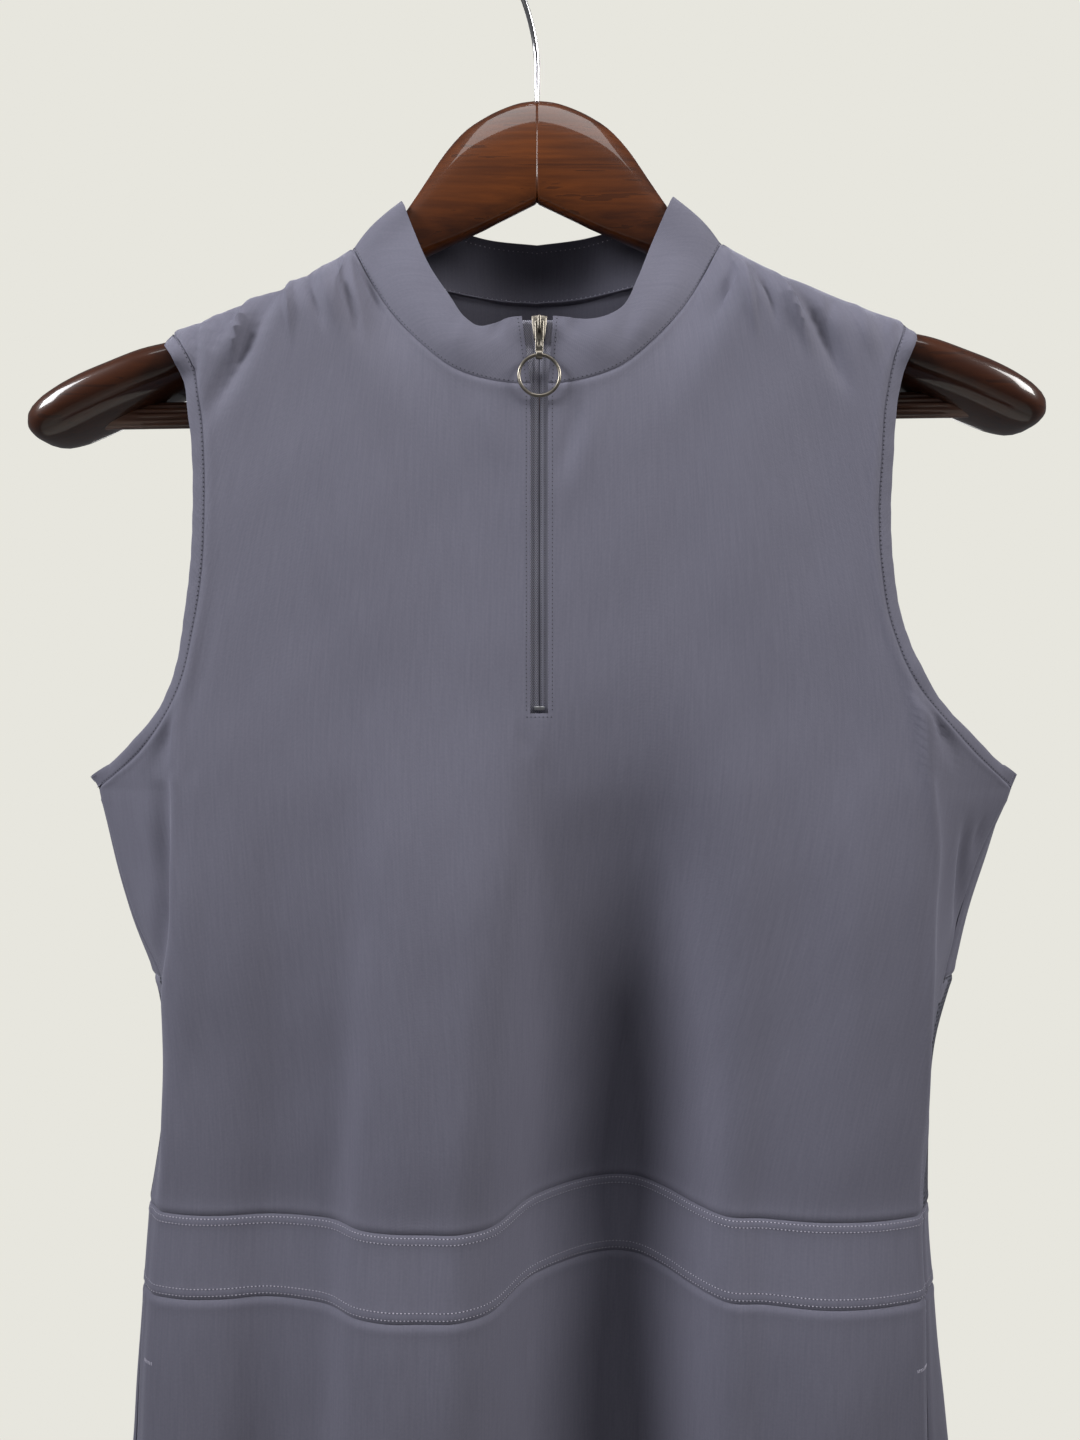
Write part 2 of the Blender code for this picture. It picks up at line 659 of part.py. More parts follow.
def make_wood(mat):
    """The wooden body: rounded sections from one arm's end to the other."""
    half = [list(row) for row in WOOD]
    stations = [[-row[0]] + row[1:] for row in half[:0:-1]] + half
    points, faces = [], []
    for x, top, bottom, front, back in stations:
        centre_y, centre_z = 0.5 * (front + back), 0.5 * (top + bottom)
        for s in range(WOOD_CORNERS):
            angle = 2 * math.pi * (s + 0.5) / WOOD_CORNERS
            c, d = math.cos(angle), math.sin(angle)
            y = centre_y + 0.5 * (back - front) * math.copysign(abs(c) ** (2 / WOOD_SQUARENESS), c)
            z = centre_z + 0.5 * (top - bottom) * math.copysign(abs(d) ** (2 / WOOD_SQUARENESS), d)
            points.append(np.array([x, y, z + LEAN * x]))
    for i in range(len(stations) - 1):
        for s in range(WOOD_CORNERS):
            a, b = i * WOOD_CORNERS + s, i * WOOD_CORNERS + (s + 1) % WOOD_CORNERS
            faces.append([a, b, b + WOOD_CORNERS, a + WOOD_CORNERS])
    faces.append(list(range(WOOD_CORNERS))[::-1])
    faces.append([len(points) - WOOD_CORNERS + s for s in range(WOOD_CORNERS)])
    wood = add_object("hanger_wood", points, faces, mat)
    reach = BAR_HALF_LENGTH + SOCKET_CLEARANCE
    cutter = tube("bar_socket_cutter", bar_path(reach, 2), BAR_RADIUS + SOCKET_CLEARANCE, 16, mat)
    cutter.hide_render = True
    cutter.display_type = "WIRE"
    cut = wood.modifiers.new("bar_socket", "BOOLEAN")
    cut.operation = "DIFFERENCE"
    cut.solver = "EXACT"
    cut.object = cutter


def bar_path(half, count):
    return [(x, 0.0, BAR_Z + LEAN * x) for x in np.linspace(-half, half, count)]


def hook_path():
    """The wire: straight up out of the wood, out to one side, and over in the crook."""
    centre_z = WIRE_RADIUS - CROOK_RADIUS + 0.0
    rise = centre_z - NECK_TOP_Z
    bend = (rise**2 - CROOK_RADIUS**2) / (2 * CROOK_RADIUS)
    swing = math.atan2(rise, bend)
    flat = [(0.0, NECK_FOOT_Z), (0.0, 0.5 * (NECK_FOOT_Z + NECK_TOP_Z))]
    for a in np.linspace(0, swing, 8):
        flat.append((-bend * (1 - math.cos(a)), NECK_TOP_Z + bend * math.sin(a)))
    for a in np.linspace(math.pi + swing, -math.radians(25), 24)[1:]:
        flat.append((CROOK_RADIUS * math.cos(a), centre_z + CROOK_RADIUS * math.sin(a)))
    return [(s * math.cos(CROOK_TURN), s * math.sin(CROOK_TURN), z) for s, z in flat]


def make_hanger(wood_mat, chrome_mat):
    make_wood(wood_mat)
    tube("hanger_bar", bar_path(BAR_HALF_LENGTH, 9), BAR_RADIUS, 16, wood_mat)
    tube("hanger_hook", hook_path(), WIRE_RADIUS, 8, chrome_mat)


# The zip

def slit_y(z):
    """Depth of the cloth's outer face beside the zip."""
    foot, top = NECK_FRONT[0][3], COLLAR_TOP[0][4]
    if z < foot:
        return front_surface_y(SLIT_X, z)
    rise = min((z - foot) / (top - foot), 1.0)
    return mix(NECK_FRONT[0][2], COLLAR_TOP[0][3], rise) - ZIP_EDGE_BULGE * math.sin(math.pi * rise)


def tape_y(z):
    return slit_y(z) + COLLAR_WALL + TAPE_SETBACK


def make_tape(name, side, mat):
    """One side's tape, from the top of the collar to just under the slit."""
    near = SLIT_X + side * SEAM_HALF_GAP
    xs = sorted((near, near + side * TAPE_WIDTH))
    zs = np.linspace(ZIP_TOP_Z - 0.8, SLIT_BOTTOM_Z - 3.0, 14)
    grid = np.array([[(x, tape_y(z), z) for x in xs] for z in zs])
    cloth_wall(name, grid, shared_normals([grid]), TAPE_WALL, (), mat)


def prism(name, outline, half_width, centre_x, mat):
    """A solid with a side outline, in Y and Z, and a width across."""
    count = len(outline)
    points = [(centre_x + side * half_width, y, z) for side in (-1, 1) for y, z in outline]
    faces = [list(range(count)), [count + n for n in range(count)][::-1]]
    faces += [[n, n + count, (n + 1) % count + count, (n + 1) % count] for n in range(count)]
    obj = add_object(name, points, faces, mat)
    mesh = bmesh.new()
    mesh.from_mesh(obj.data)
    bmesh.ops.recalc_face_normals(mesh, faces=mesh.faces)
    mesh.to_mesh(obj.data)
    mesh.free()
    return obj


def box_outline(y0, y1, z0, z1):
    return [(y0, z0), (y1, z0), (y1, z1), (y0, z1)]


def arc_outline(y, z, radius, sides):
    return [(y + radius * math.cos(2 * math.pi * (n + 0.5) / sides),
             z + radius * math.sin(2 * math.pi * (n + 0.5) / sides)) for n in range(sides)]


def combine(obj, other, operation):
    """Joins a hidden helper to an object, or cuts it out."""
    other.hide_render = True
    other.display_type = "WIRE"
    step = obj.modifiers.new(other.name, "BOOLEAN")
    step.operation = operation
    step.solver = "EXACT"
    step.object = other


def make_slider(mat):
    """The slider's body with rounded edges, and the bridge that holds the pull."""
    top, foot = SLIDER_TOP_Z, SLIDER_TOP_Z - SLIDER_HEIGHT
    back_foot, back_top_y = tape_y(foot) - SLIDER_SEAT, tape_y(top) - SLIDER_SEAT
    outline = [(back_foot - SLIDER_DEPTH, foot), (back_foot, foot),
               (back_top_y, top), (back_top_y - SLIDER_DEPTH, top)]
    slider = prism("zip_slider", outline, 0.5 * SLIDER_WIDTH, SLIT_X, mat)
    edges = slider.modifiers.new("soft_edges", "BEVEL")
    edges.width = 0.7 * MM
    edges.segments = 2
    inner = BRIDGE_FRONT_Y + BRIDGE_WIRE
    arch_top, arch_foot = LINK_AXIS_Z + 2.3, LINK_AXIS_Z - 3.6
    root = back_top_y - SLIDER_DEPTH + 0.5
    arch = [(root, arch_top), (BRIDGE_FRONT_Y, arch_top), (BRIDGE_FRONT_Y, arch_foot),
            (root, arch_foot - 0.6), (root, arch_foot + BRIDGE_WIRE - 0.6),
            (inner, arch_foot + BRIDGE_WIRE), (inner, arch_top - BRIDGE_WIRE),
            (root, arch_top - BRIDGE_WIRE)]
    combine(slider, prism("slider_bridge", arch, 0.5 * BRIDGE_WIDTH, SLIT_X, mat), "UNION")


def make_pull(mat):
    """The link on the slider's bridge and the ring in the link's eye."""
    y0, y1 = LINK_AXIS_Y - 0.5 * LINK_WALL, LINK_AXIS_Y + 0.5 * LINK_WALL
    top, foot = LINK_AXIS_Z + 0.5 * LINK_WALL, RING_AXIS_Z + 0.5 * EYE_OUTER
    plate = box_outline(y0, y1, foot, top)
    link = prism("zip_pull_link", plate, 0.5 * LINK_WIDTH, SLIT_X, mat)
    window_top = LINK_AXIS_Z - 0.5 * LINK_WALL
    window = box_outline(y0 - 1, y1 + 1, window_top - LINK_WINDOW_HEIGHT, window_top)
    combine(link, prism("link_window", window, 0.5 * LINK_WINDOW, SLIT_X, mat), "DIFFERENCE")
    eye = arc_outline(LINK_AXIS_Y, RING_AXIS_Z, EYE_OUTER, 14)
    combine(link, prism("link_eye", eye, 0.5 * EYE_LENGTH, SLIT_X, mat), "UNION")
    hole = arc_outline(LINK_AXIS_Y, RING_AXIS_Z, EYE_INNER, 14)
    combine(link, prism("link_eye_hole", hole, LINK_WIDTH, SLIT_X, mat), "DIFFERENCE")
    put_origin(link, SLIT_X, LINK_AXIS_Y, LINK_AXIS_Z)
    angles = [2 * math.pi * n / 32 for n in range(32)]
    ring = [(SLIT_X + RING_RADIUS * math.sin(a), LINK_AXIS_Y,
             RING_AXIS_Z - RING_RADIUS + RING_RADIUS * math.cos(a)) for a in angles]
    pull_ring = tube("zip_pull_ring", ring, RING_WIRE, 8, mat, closed=True)
    put_origin(pull_ring, SLIT_X, LINK_AXIS_Y, RING_AXIS_Z)


def make_stop(mat):
    width, depth, height = STOP_SIZE
    face = tape_y(STOP_Z) - 0.3
    outline = box_outline(face - depth, face, STOP_Z - 0.5 * height, STOP_Z + 0.5 * height)
    prism("zip_bottom_stop", outline, 0.5 * width, SLIT_X, mat)


def make_zip(tape_mat, brass_mat, steel_mat):
    make_tape("zip_tape_left", -1, tape_mat)
    make_tape("zip_tape_right", 1, tape_mat)
    make_slider(brass_mat)
    make_pull(brass_mat)
    make_stop(steel_mat)


# The dress

def make_pocket_bags(mat):
    zs = np.linspace(POCKET_TOP_Z, POCKET_BOTTOM_Z, BAG_ROWS)
    for name, ks in (("pocket_bag_left", BAG_COLUMNS),
                     ("pocket_bag_right", [FRONT_LAST - k for k in BAG_COLUMNS[::-1]])):
        grid = np.array([[front_section(k, z) for k in ks] for z in zs])
        cloth_wall(name, grid, shared_normals([grid]), BAG_WALL, (), mat,
                   offset=CLOTH + BAG_SETBACK)


def make_dress(cloth_mat, mesh_mat):
    front = panel(front_upper, front_section, FRONT_LAST, UPPER_ROWS, CHEST_ROWS + MESH_ROWS[1:])
    back = panel(back_upper, back_section, BACK_LAST, UPPER_ROWS, CHEST_ROWS)
    back_mesh = panel(None, back_section, BACK_LAST, (), MESH_ROWS)
    band_front = panel(None, front_section, FRONT_LAST, (), BAND_ROWS)
    band_back = panel(None, back_section, BACK_LAST, (), BAND_ROWS)
    skirt_front = panel(None, front_section, FRONT_LAST, (), SKIRT_ROWS)
    skirt_back = panel(None, back_section, BACK_LAST, (), SKIRT_ROWS)
    collar = collar_grid()
    armpit = len(UPPER_ROWS) + 1
    arm_left = band_grid(front[:armpit, 0], front[:armpit, 1],
                         back[:armpit, -1], back[:armpit, -2], -1)
    arm_right = band_grid(front[:armpit, -1], front[:armpit, -2],
                          back[:armpit, 0], back[:armpit, 1], 1)
    arm_right = arm_right[::-1]
    collar = collar[::-1]
    normals = shared_normals([front, back, back_mesh, band_front, band_back, skirt_front,
                              skirt_back, collar, arm_left, arm_right])

    slit_rows = UPPER_ROWS.index(SLIT_ROW_SHARE)
    keep = np.ones((front.shape[0] - 1, front.shape[1] - 1), bool)
    keep[:slit_rows, FRONT_SLIT] = False
    every = ("top", "bottom", "first", "last")
    cloth_wall("front_bodice", front, normals, CLOTH, every, cloth_mat, keep)
    cloth_wall("back_bodice", back, normals, CLOTH, every, cloth_mat)
    cloth_wall("back_mesh_panel", back_mesh, normals, CLOTH, every, mesh_mat)
    cloth_wall("waistband_front", band_front, normals, CLOTH, every, cloth_mat)
    cloth_wall("waistband_back", band_back, normals, CLOTH, every, cloth_mat)
    seams = ("top", "first", "last")
    cloth_wall("skirt_front", skirt_front, normals, CLOTH, seams, cloth_mat)
    cloth_wall("skirt_back", skirt_back, normals, CLOTH, seams, cloth_mat)
    cloth_wall("collar", collar, normals, COLLAR_WALL, ("bottom",), cloth_mat)
    cloth_wall("armhole_band_left", arm_left, normals, CLOTH, ("top",), cloth_mat, ring=True)
    cloth_wall("armhole_band_right", arm_right, normals, CLOTH, ("bottom",), cloth_mat, ring=True)
    make_pocket_bags(cloth_mat)


def main():
    clear_scene()
    cloth_mat = material("slate knit", (0.125, 0.120, 0.155), 0.75)
    mesh_mat = material("patterned mesh", (0.115, 0.115, 0.150), 0.8)
    wood_mat = material("dark walnut varnish", (0.075, 0.026, 0.014), 0.25)
    chrome_mat = material("chrome wire", (0.75, 0.75, 0.77), 0.15, 1.0)
    tape_mat = material("zip tape", (0.085, 0.085, 0.110), 0.8)
    brass_mat = material("aged brass", (0.42, 0.36, 0.28), 0.35, 1.0)
    make_hanger(wood_mat, chrome_mat)
    make_dress(cloth_mat, mesh_mat)
    make_zip(tape_mat, brass_mat, chrome_mat)


main()
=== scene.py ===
import bisect
import math

import bpy
import numpy as np
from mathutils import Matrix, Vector


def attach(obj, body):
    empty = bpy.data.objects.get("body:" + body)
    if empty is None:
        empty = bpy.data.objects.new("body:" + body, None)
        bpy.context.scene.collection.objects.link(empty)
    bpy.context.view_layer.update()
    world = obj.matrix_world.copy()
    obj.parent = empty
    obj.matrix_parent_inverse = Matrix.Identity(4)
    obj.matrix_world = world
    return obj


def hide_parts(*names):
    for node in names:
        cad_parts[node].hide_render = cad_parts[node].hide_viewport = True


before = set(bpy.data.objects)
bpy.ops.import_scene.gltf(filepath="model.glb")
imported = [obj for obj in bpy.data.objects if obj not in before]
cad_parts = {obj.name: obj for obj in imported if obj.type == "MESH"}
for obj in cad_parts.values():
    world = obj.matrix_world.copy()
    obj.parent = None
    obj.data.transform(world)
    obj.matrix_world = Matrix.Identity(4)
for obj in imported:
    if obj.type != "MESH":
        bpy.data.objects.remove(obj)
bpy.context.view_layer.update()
mm = 0.001
carrier = "dress_on_hanger"
print("frame loaded:", len(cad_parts), "nodes")


# Materials

paint = {
    "knitDark": (0.092, 0.090, 0.122),
    "knitLight": (0.168, 0.165, 0.212),
    "mesh": (0.120, 0.124, 0.160),
    # near-black of the mesh holes: painted shade of the inside seen through them
    "meshHoleShade": (0.020, 0.021, 0.030),
    "tape": (0.38, 0.375, 0.45),
    "tapeDipShade": (0.125, 0.123, 0.160),
    "threadLight": (0.56, 0.54, 0.64),
    # dark thread, also used for the painted shade in the waistband's needle holes
    "threadDarkAndHoleShade": (0.022, 0.021, 0.030),
    "woodDark": (0.030, 0.0085, 0.004),
    "woodWarm": (0.150, 0.040, 0.008),
    "barWood": (0.300, 0.130, 0.075),
    "woodPore": (0.012, 0.005, 0.004),
    "brass": (0.31, 0.28, 0.235),
    "steel": (0.66, 0.66, 0.68),
    "chrome": (0.78, 0.78, 0.80),
}


def newGroup(name, inputs, outputs):
    tree = bpy.data.node_groups.new(name, "ShaderNodeTree")
    for label, kind, value in inputs:
        socket = tree.interface.new_socket(label, in_out="INPUT", socket_type=kind)
        if value is not None:
            socket.default_value = value
    for label, kind in outputs:
        tree.interface.new_socket(label, in_out="OUTPUT", socket_type=kind)
    return tree, tree.nodes.new("NodeGroupInput"), tree.nodes.new("NodeGroupOutput")


def mathNode(tree, operation, first, second=None, third=None):
    node = tree.nodes.new("ShaderNodeMath")
    node.operation = operation
    for i, value in enumerate((first, second, third)):
        if value is None:
            continue
        if isinstance(value, (int, float)):
            node.inputs[i].default_value = value
        else:
            tree.links.new(value, node.inputs[i])
    return node.outputs[0]


def noiseNode(tree, vector, scale, detail=3.0, roughness=0.5):
    node = tree.nodes.new("ShaderNodeTexNoise")
    node.inputs["Scale"].default_value = scale
    node.inputs["Detail"].default_value = detail
    node.inputs["Roughness"].default_value = roughness
    tree.links.new(vector, node.inputs["Vector"])
    return node.outputs["Fac"]


def stretched(tree, vector, scale):
    node = tree.nodes.new("ShaderNodeMapping")
    node.inputs["Scale"].default_value = scale
    tree.links.new(vector, node.inputs["Vector"])
    return node.outputs["Vector"]


def mixColour(tree, factor, first, second, blend="MIX"):
    node = tree.nodes.new("ShaderNodeMix")
    node.data_type, node.blend_type = "RGBA", blend
    for socket, value in ((node.inputs["Factor"], factor), (node.inputs["A"], first),
                          (node.inputs["B"], second)):
        if isinstance(value, tuple):
            socket.default_value = (*value, 1.0) if len(value) == 3 else value
        elif isinstance(value, (int, float)):
            socket.default_value = value
        else:
            tree.links.new(value, socket)
    return node.outputs["Result"]


# Knit: fine wales and courses from the cloth's own UV map, whose unit is a metre
def makeKnitGroup():
    tree, given, made = newGroup("knitSurface", [
        ("Vector", "NodeSocketVector", None), ("Pitch", "NodeSocketFloat", 0.0007)],
        [("Shade", "NodeSocketFloat"), ("Height", "NodeSocketFloat")])
    split = tree.nodes.new("ShaderNodeSeparateXYZ")
    tree.links.new(given.outputs["Vector"], split.inputs[0])
    turn = mathNode(tree, "DIVIDE", 2 * math.pi, given.outputs["Pitch"])
    wale = mathNode(tree, "SINE", mathNode(tree, "MULTIPLY", split.outputs["X"], turn))
    course = mathNode(tree, "SINE", mathNode(tree, "MULTIPLY", split.outputs["Y"],
                                             mathNode(tree, "MULTIPLY", turn, 1.25)))
    loops = mathNode(tree, "MULTIPLY_ADD", mathNode(tree, "MULTIPLY", wale, course), 0.25, 0.5)
    streak = noiseNode(tree, stretched(tree, given.outputs["Vector"], (1100, 45, 1)), 1.0, 2.0)
    fleck = noiseNode(tree, given.outputs["Vector"], 900.0, 2.0)
    cloudy = noiseNode(tree, given.outputs["Vector"], 9.0, 2.0)
    shade = mathNode(tree, "MULTIPLY_ADD", streak, 0.42, mathNode(tree, "MULTIPLY", fleck, 0.34))
    shade = mathNode(tree, "MULTIPLY_ADD", cloudy, 0.24, shade)
    height = mathNode(tree, "MULTIPLY_ADD", streak, 0.4, loops)
    tree.links.new(shade, made.inputs["Shade"])
    tree.links.new(height, made.inputs["Height"])
    return tree


# Wood: long pores and slow bands that run along X
def makeGrainGroup():
    tree, given, made = newGroup("woodFigure", [("Vector", "NodeSocketVector", None)],
                                 [("Figure", "NodeSocketFloat"), ("Pores", "NodeSocketFloat")])
    along = stretched(tree, given.outputs["Vector"], (5.0, 42.0, 42.0))
    bands = noiseNode(tree, along, 1.6, 5.0, 0.62)
    fine = noiseNode(tree, stretched(tree, given.outputs["Vector"], (16.0, 420.0, 420.0)), 1.0, 3.0)
    figure = mathNode(tree, "MULTIPLY_ADD", fine, 0.35, mathNode(tree, "MULTIPLY", bands, 0.65))
    tree.links.new(figure, made.inputs["Figure"])
    tree.links.new(mathNode(tree, "GREATER_THAN", fine, 0.63), made.inputs["Pores"])
    return tree


knitGroup = makeKnitGroup()
grainGroup = makeGrainGroup()


def newMaterial(name, roughness, metallic=0.0):
    material = bpy.data.materials.new(name)
    material.use_nodes = True
    tree = material.node_tree
    shader = tree.nodes["Principled BSDF"]
    shader.inputs["Roughness"].default_value = roughness
    shader.inputs["Metallic"].default_value = metallic
    return material, tree, shader


def placed(tree, group):
    node = tree.nodes.new("ShaderNodeGroup")
    node.node_tree = group
    return node


def uvOf(tree):
    node = tree.nodes.new("ShaderNodeUVMap")
    node.uv_map = "cut"
    return node.outputs["UV"]


def objectOf(tree):
    return tree.nodes.new("ShaderNodeTexCoord").outputs["Object"]


def bumpInto(tree, shader, height, strength, distance):
    node = tree.nodes.new("ShaderNodeBump")
    node.inputs["Strength"].default_value = strength
    node.inputs["Distance"].default_value = distance
    tree.links.new(height, node.inputs["Height"])
    tree.links.new(node.outputs["Normal"], shader.inputs["Normal"])


knitLook = {"roughness": 0.78, "sheen": 0.42, "sheenRoughness": 0.30, "sheenTint": (0.80, 0.80, 0.95, 1.0),
            "shine": 0.28, "bump": 0.35, "bumpDepth": 0.0002}


def makeKnit(name, low, high):
    material, tree, shader = newMaterial(name, knitLook["roughness"])
    knit = placed(tree, knitGroup)
    tree.links.new(uvOf(tree), knit.inputs["Vector"])
    tree.links.new(mixColour(tree, knit.outputs["Shade"], low, high), shader.inputs["Base Color"])
    shader.inputs["Sheen Weight"].default_value = knitLook["sheen"]
    shader.inputs["Sheen Roughness"].default_value = knitLook["sheenRoughness"]
    shader.inputs["Sheen Tint"].default_value = knitLook["sheenTint"]
    shader.inputs["Specular IOR Level"].default_value = knitLook["shine"]
    bumpInto(tree, shader, knit.outputs["Height"], knitLook["bump"], knitLook["bumpDepth"])
    return material


meshLook = {"roughness": 0.8, "holeScale": 520.0, "holeSize": 0.36, "blockScale": 75.0, "blockSize": 0.33,
            "bump": 0.7, "bumpDepth": 0.0005}


# The back's insert: a net of small round holes under blocks of closed knit
def makePatternedMesh():
    material, tree, shader = newMaterial("patternedMesh", meshLook["roughness"])
    uv = uvOf(tree)
    cells = tree.nodes.new("ShaderNodeTexVoronoi")
    cells.inputs["Scale"].default_value = meshLook["holeScale"]
    cells.inputs["Randomness"].default_value = 0.15
    tree.links.new(uv, cells.inputs["Vector"])
    hole = mathNode(tree, "LESS_THAN", cells.outputs["Distance"], meshLook["holeSize"])
    leaves = tree.nodes.new("ShaderNodeTexVoronoi")
    leaves.inputs["Scale"].default_value = meshLook["blockScale"]
    leaves.inputs["Randomness"].default_value = 0.55
    tree.links.new(stretched(tree, uv, (1.0, 0.62, 1.0)), leaves.inputs["Vector"])
    block = mathNode(tree, "LESS_THAN", leaves.outputs["Distance"], meshLook["blockSize"])
    opened = mathNode(tree, "MULTIPLY", hole, mathNode(tree, "SUBTRACT", 1.0, block))
    knit = placed(tree, knitGroup)
    tree.links.new(uv, knit.inputs["Vector"])
    ground = mixColour(tree, knit.outputs["Shade"], paint["knitDark"], paint["mesh"])
    raised = mixColour(tree, block, ground, paint["knitLight"])
    # the holes are painted near-black: painted shade of the dress's inside seen through them
    tree.links.new(mixColour(tree, opened, raised, paint["meshHoleShade"]), shader.inputs["Base Color"])
    height = mathNode(tree, "SUBTRACT", mathNode(tree, "MULTIPLY", block, 0.6), opened)
    bumpInto(tree, shader, height, meshLook["bump"], meshLook["bumpDepth"])
    return material


# Woven tape: tight ribs across and a twill along, with painted shade in the weave's dips
def makeTapeMaterial():
    material, tree, shader = newMaterial("wovenTape", 0.82)
    uv = uvOf(tree)
    split = tree.nodes.new("ShaderNodeSeparateXYZ")
    tree.links.new(uv, split.inputs[0])
    ribs = mathNode(tree, "SINE", mathNode(tree, "MULTIPLY", split.outputs["Y"], 5200.0))
    lines = mathNode(tree, "SINE", mathNode(tree, "MULTIPLY", split.outputs["X"], 7400.0))
    weave = mathNode(tree, "MULTIPLY_ADD", mathNode(tree, "MULTIPLY", ribs, lines), 0.5, 0.5)
    # the weave's low places take the darker colour: painted shade in its dips
    tree.links.new(mixColour(tree, weave, paint["tapeDipShade"], paint["tape"]),
                   shader.inputs["Base Color"])
    bumpInto(tree, shader, weave, 0.6, 0.0003)
    return material


def makeThread(name, colour):
    material, tree, shader = newMaterial(name, 0.6)
    ply = noiseNode(tree, objectOf(tree), 2600.0, 1.0)
    dark = tuple(0.6 * c for c in colour)
    tree.links.new(mixColour(tree, ply, dark, colour), shader.inputs["Base Color"])
    bumpInto(tree, shader, ply, 0.4, 0.0001)
    return material


woodLook = {"roughness": 0.34, "figureFrom": 0.34, "figureTo": 0.66, "poreDepth": 0.5, "shine": 0.2,
            "varnish": 0.8, "varnishRoughness": 0.05, "bump": 0.12, "bumpDepth": 0.0006}


# Stained walnut under a thick clear varnish; its colour is lighter and warmer near the middle and darker
# towards the ends: warmReach is how far out, in metres
def makeWood(name, dark, warm, warmReach):
    material, tree, shader = newMaterial(name, woodLook["roughness"])
    place = objectOf(tree)
    grain = placed(tree, grainGroup)
    tree.links.new(place, grain.inputs["Vector"])
    ramp = tree.nodes.new("ShaderNodeMapRange")
    ramp.inputs["From Min"].default_value = woodLook["figureFrom"]
    ramp.inputs["From Max"].default_value = woodLook["figureTo"]
    tree.links.new(grain.outputs["Figure"], ramp.inputs["Value"])
    split = tree.nodes.new("ShaderNodeSeparateXYZ")
    tree.links.new(place, split.inputs[0])
    far = mathNode(tree, "MULTIPLY", mathNode(tree, "ABSOLUTE", split.outputs["X"]), 1 / warmReach)
    near = mathNode(tree, "SUBTRACT", 1.0, mathNode(tree, "MINIMUM", far, 1.0))
    shade = mathNode(tree, "MULTIPLY", ramp.outputs["Result"],
                     mathNode(tree, "MULTIPLY_ADD", near, 0.75, 0.25))
    colour = mixColour(tree, shade, dark, warm)
    pores = mathNode(tree, "MULTIPLY", grain.outputs["Pores"], woodLook["poreDepth"])
    pored = mixColour(tree, pores, colour, paint["woodPore"])
    tree.links.new(pored, shader.inputs["Base Color"])
    shader.inputs["Specular IOR Level"].default_value = woodLook["shine"]
    shader.inputs["Coat Weight"].default_value = woodLook["varnish"]
    shader.inputs["Coat Roughness"].default_value = woodLook["varnishRoughness"]
    bumpInto(tree, shader, grain.outputs["Figure"], woodLook["bump"], woodLook["bumpDepth"])
    return material


def makeMetal(name, colour, roughness, wear):
    material, tree, shader = newMaterial(name, roughness, 1.0)
    place = objectOf(tree)
    cloud = noiseNode(tree, place, 420.0, 3.0)
    scratch = noiseNode(tree, stretched(tree, place, (900.0, 900.0, 9000.0)), 1.0, 2.0)
    dark = tuple((1 - wear) * c for c in colour)
    tree.links.new(mixColour(tree, cloud, dark, colour), shader.inputs["Base Color"])
    rough = mathNode(tree, "MULTIPLY_ADD", cloud, 0.22, roughness - 0.1)
    tree.links.new(rough, shader.inputs["Roughness"])
    bumpInto(tree, shader, scratch, 0.08, 0.0001)
    return material


knitCloth = makeKnit("slateKnit", paint["knitDark"], paint["knitLight"])
meshCloth = makePatternedMesh()
tapeCloth = makeTapeMaterial()
lightThread = makeThread("lightThread", paint["threadLight"])
# dark thread of the topstitching, and painted shade in the waistband's needle holes
darkThreadAndHoleShade = makeThread("darkThreadAndHoleShade", paint["threadDarkAndHoleShade"])
walnut = makeWood("varnishedWalnut", paint["woodDark"], paint["woodWarm"], 0.11)
barWalnut = makeWood("groovedWalnut", paint["woodDark"], paint["barWood"], 0.9)
agedBrass = makeMetal("agedBrass", paint["brass"], 0.32, 0.45)
brightSteel = makeMetal("brightSteel", paint["steel"], 0.30, 0.2)
chromeWire = makeMetal("chromeWire", paint["chrome"], 0.16, 0.08)
print("materials made")


# The cut of the dress

cut = {
    "wall": 1.3, "collarWall": 1.9, "bandWall": 1.5, "bandWidth": 6.5,
    "armpit": -388.0, "meshTop": -473.5, "waistTop": -570.0, "waistBottom": -604.5, "hem": -1027.0,
    "slitLeft": -2.7, "slitRight": 4.8, "slitBottom": -355.0, "neckFoot": -216.6, "sideTurn": -300.0,
    "shoulderDrop": 18.0, "neckDrop": 42.0, "lean": 0.014, "leanFrom": -200.0, "leanTo": -300.0,
    "frontFold": 3, "frontNeck": 8, "frontSlit": 18, "frontLast": 37,
    "backSide": 2, "backNeck": 8, "backNeckEnd": 20, "backLast": 28, "backFoldStart": -540.0,
    "collarBulge": 2.2, "zipEdgeBulge": 0.6,
}

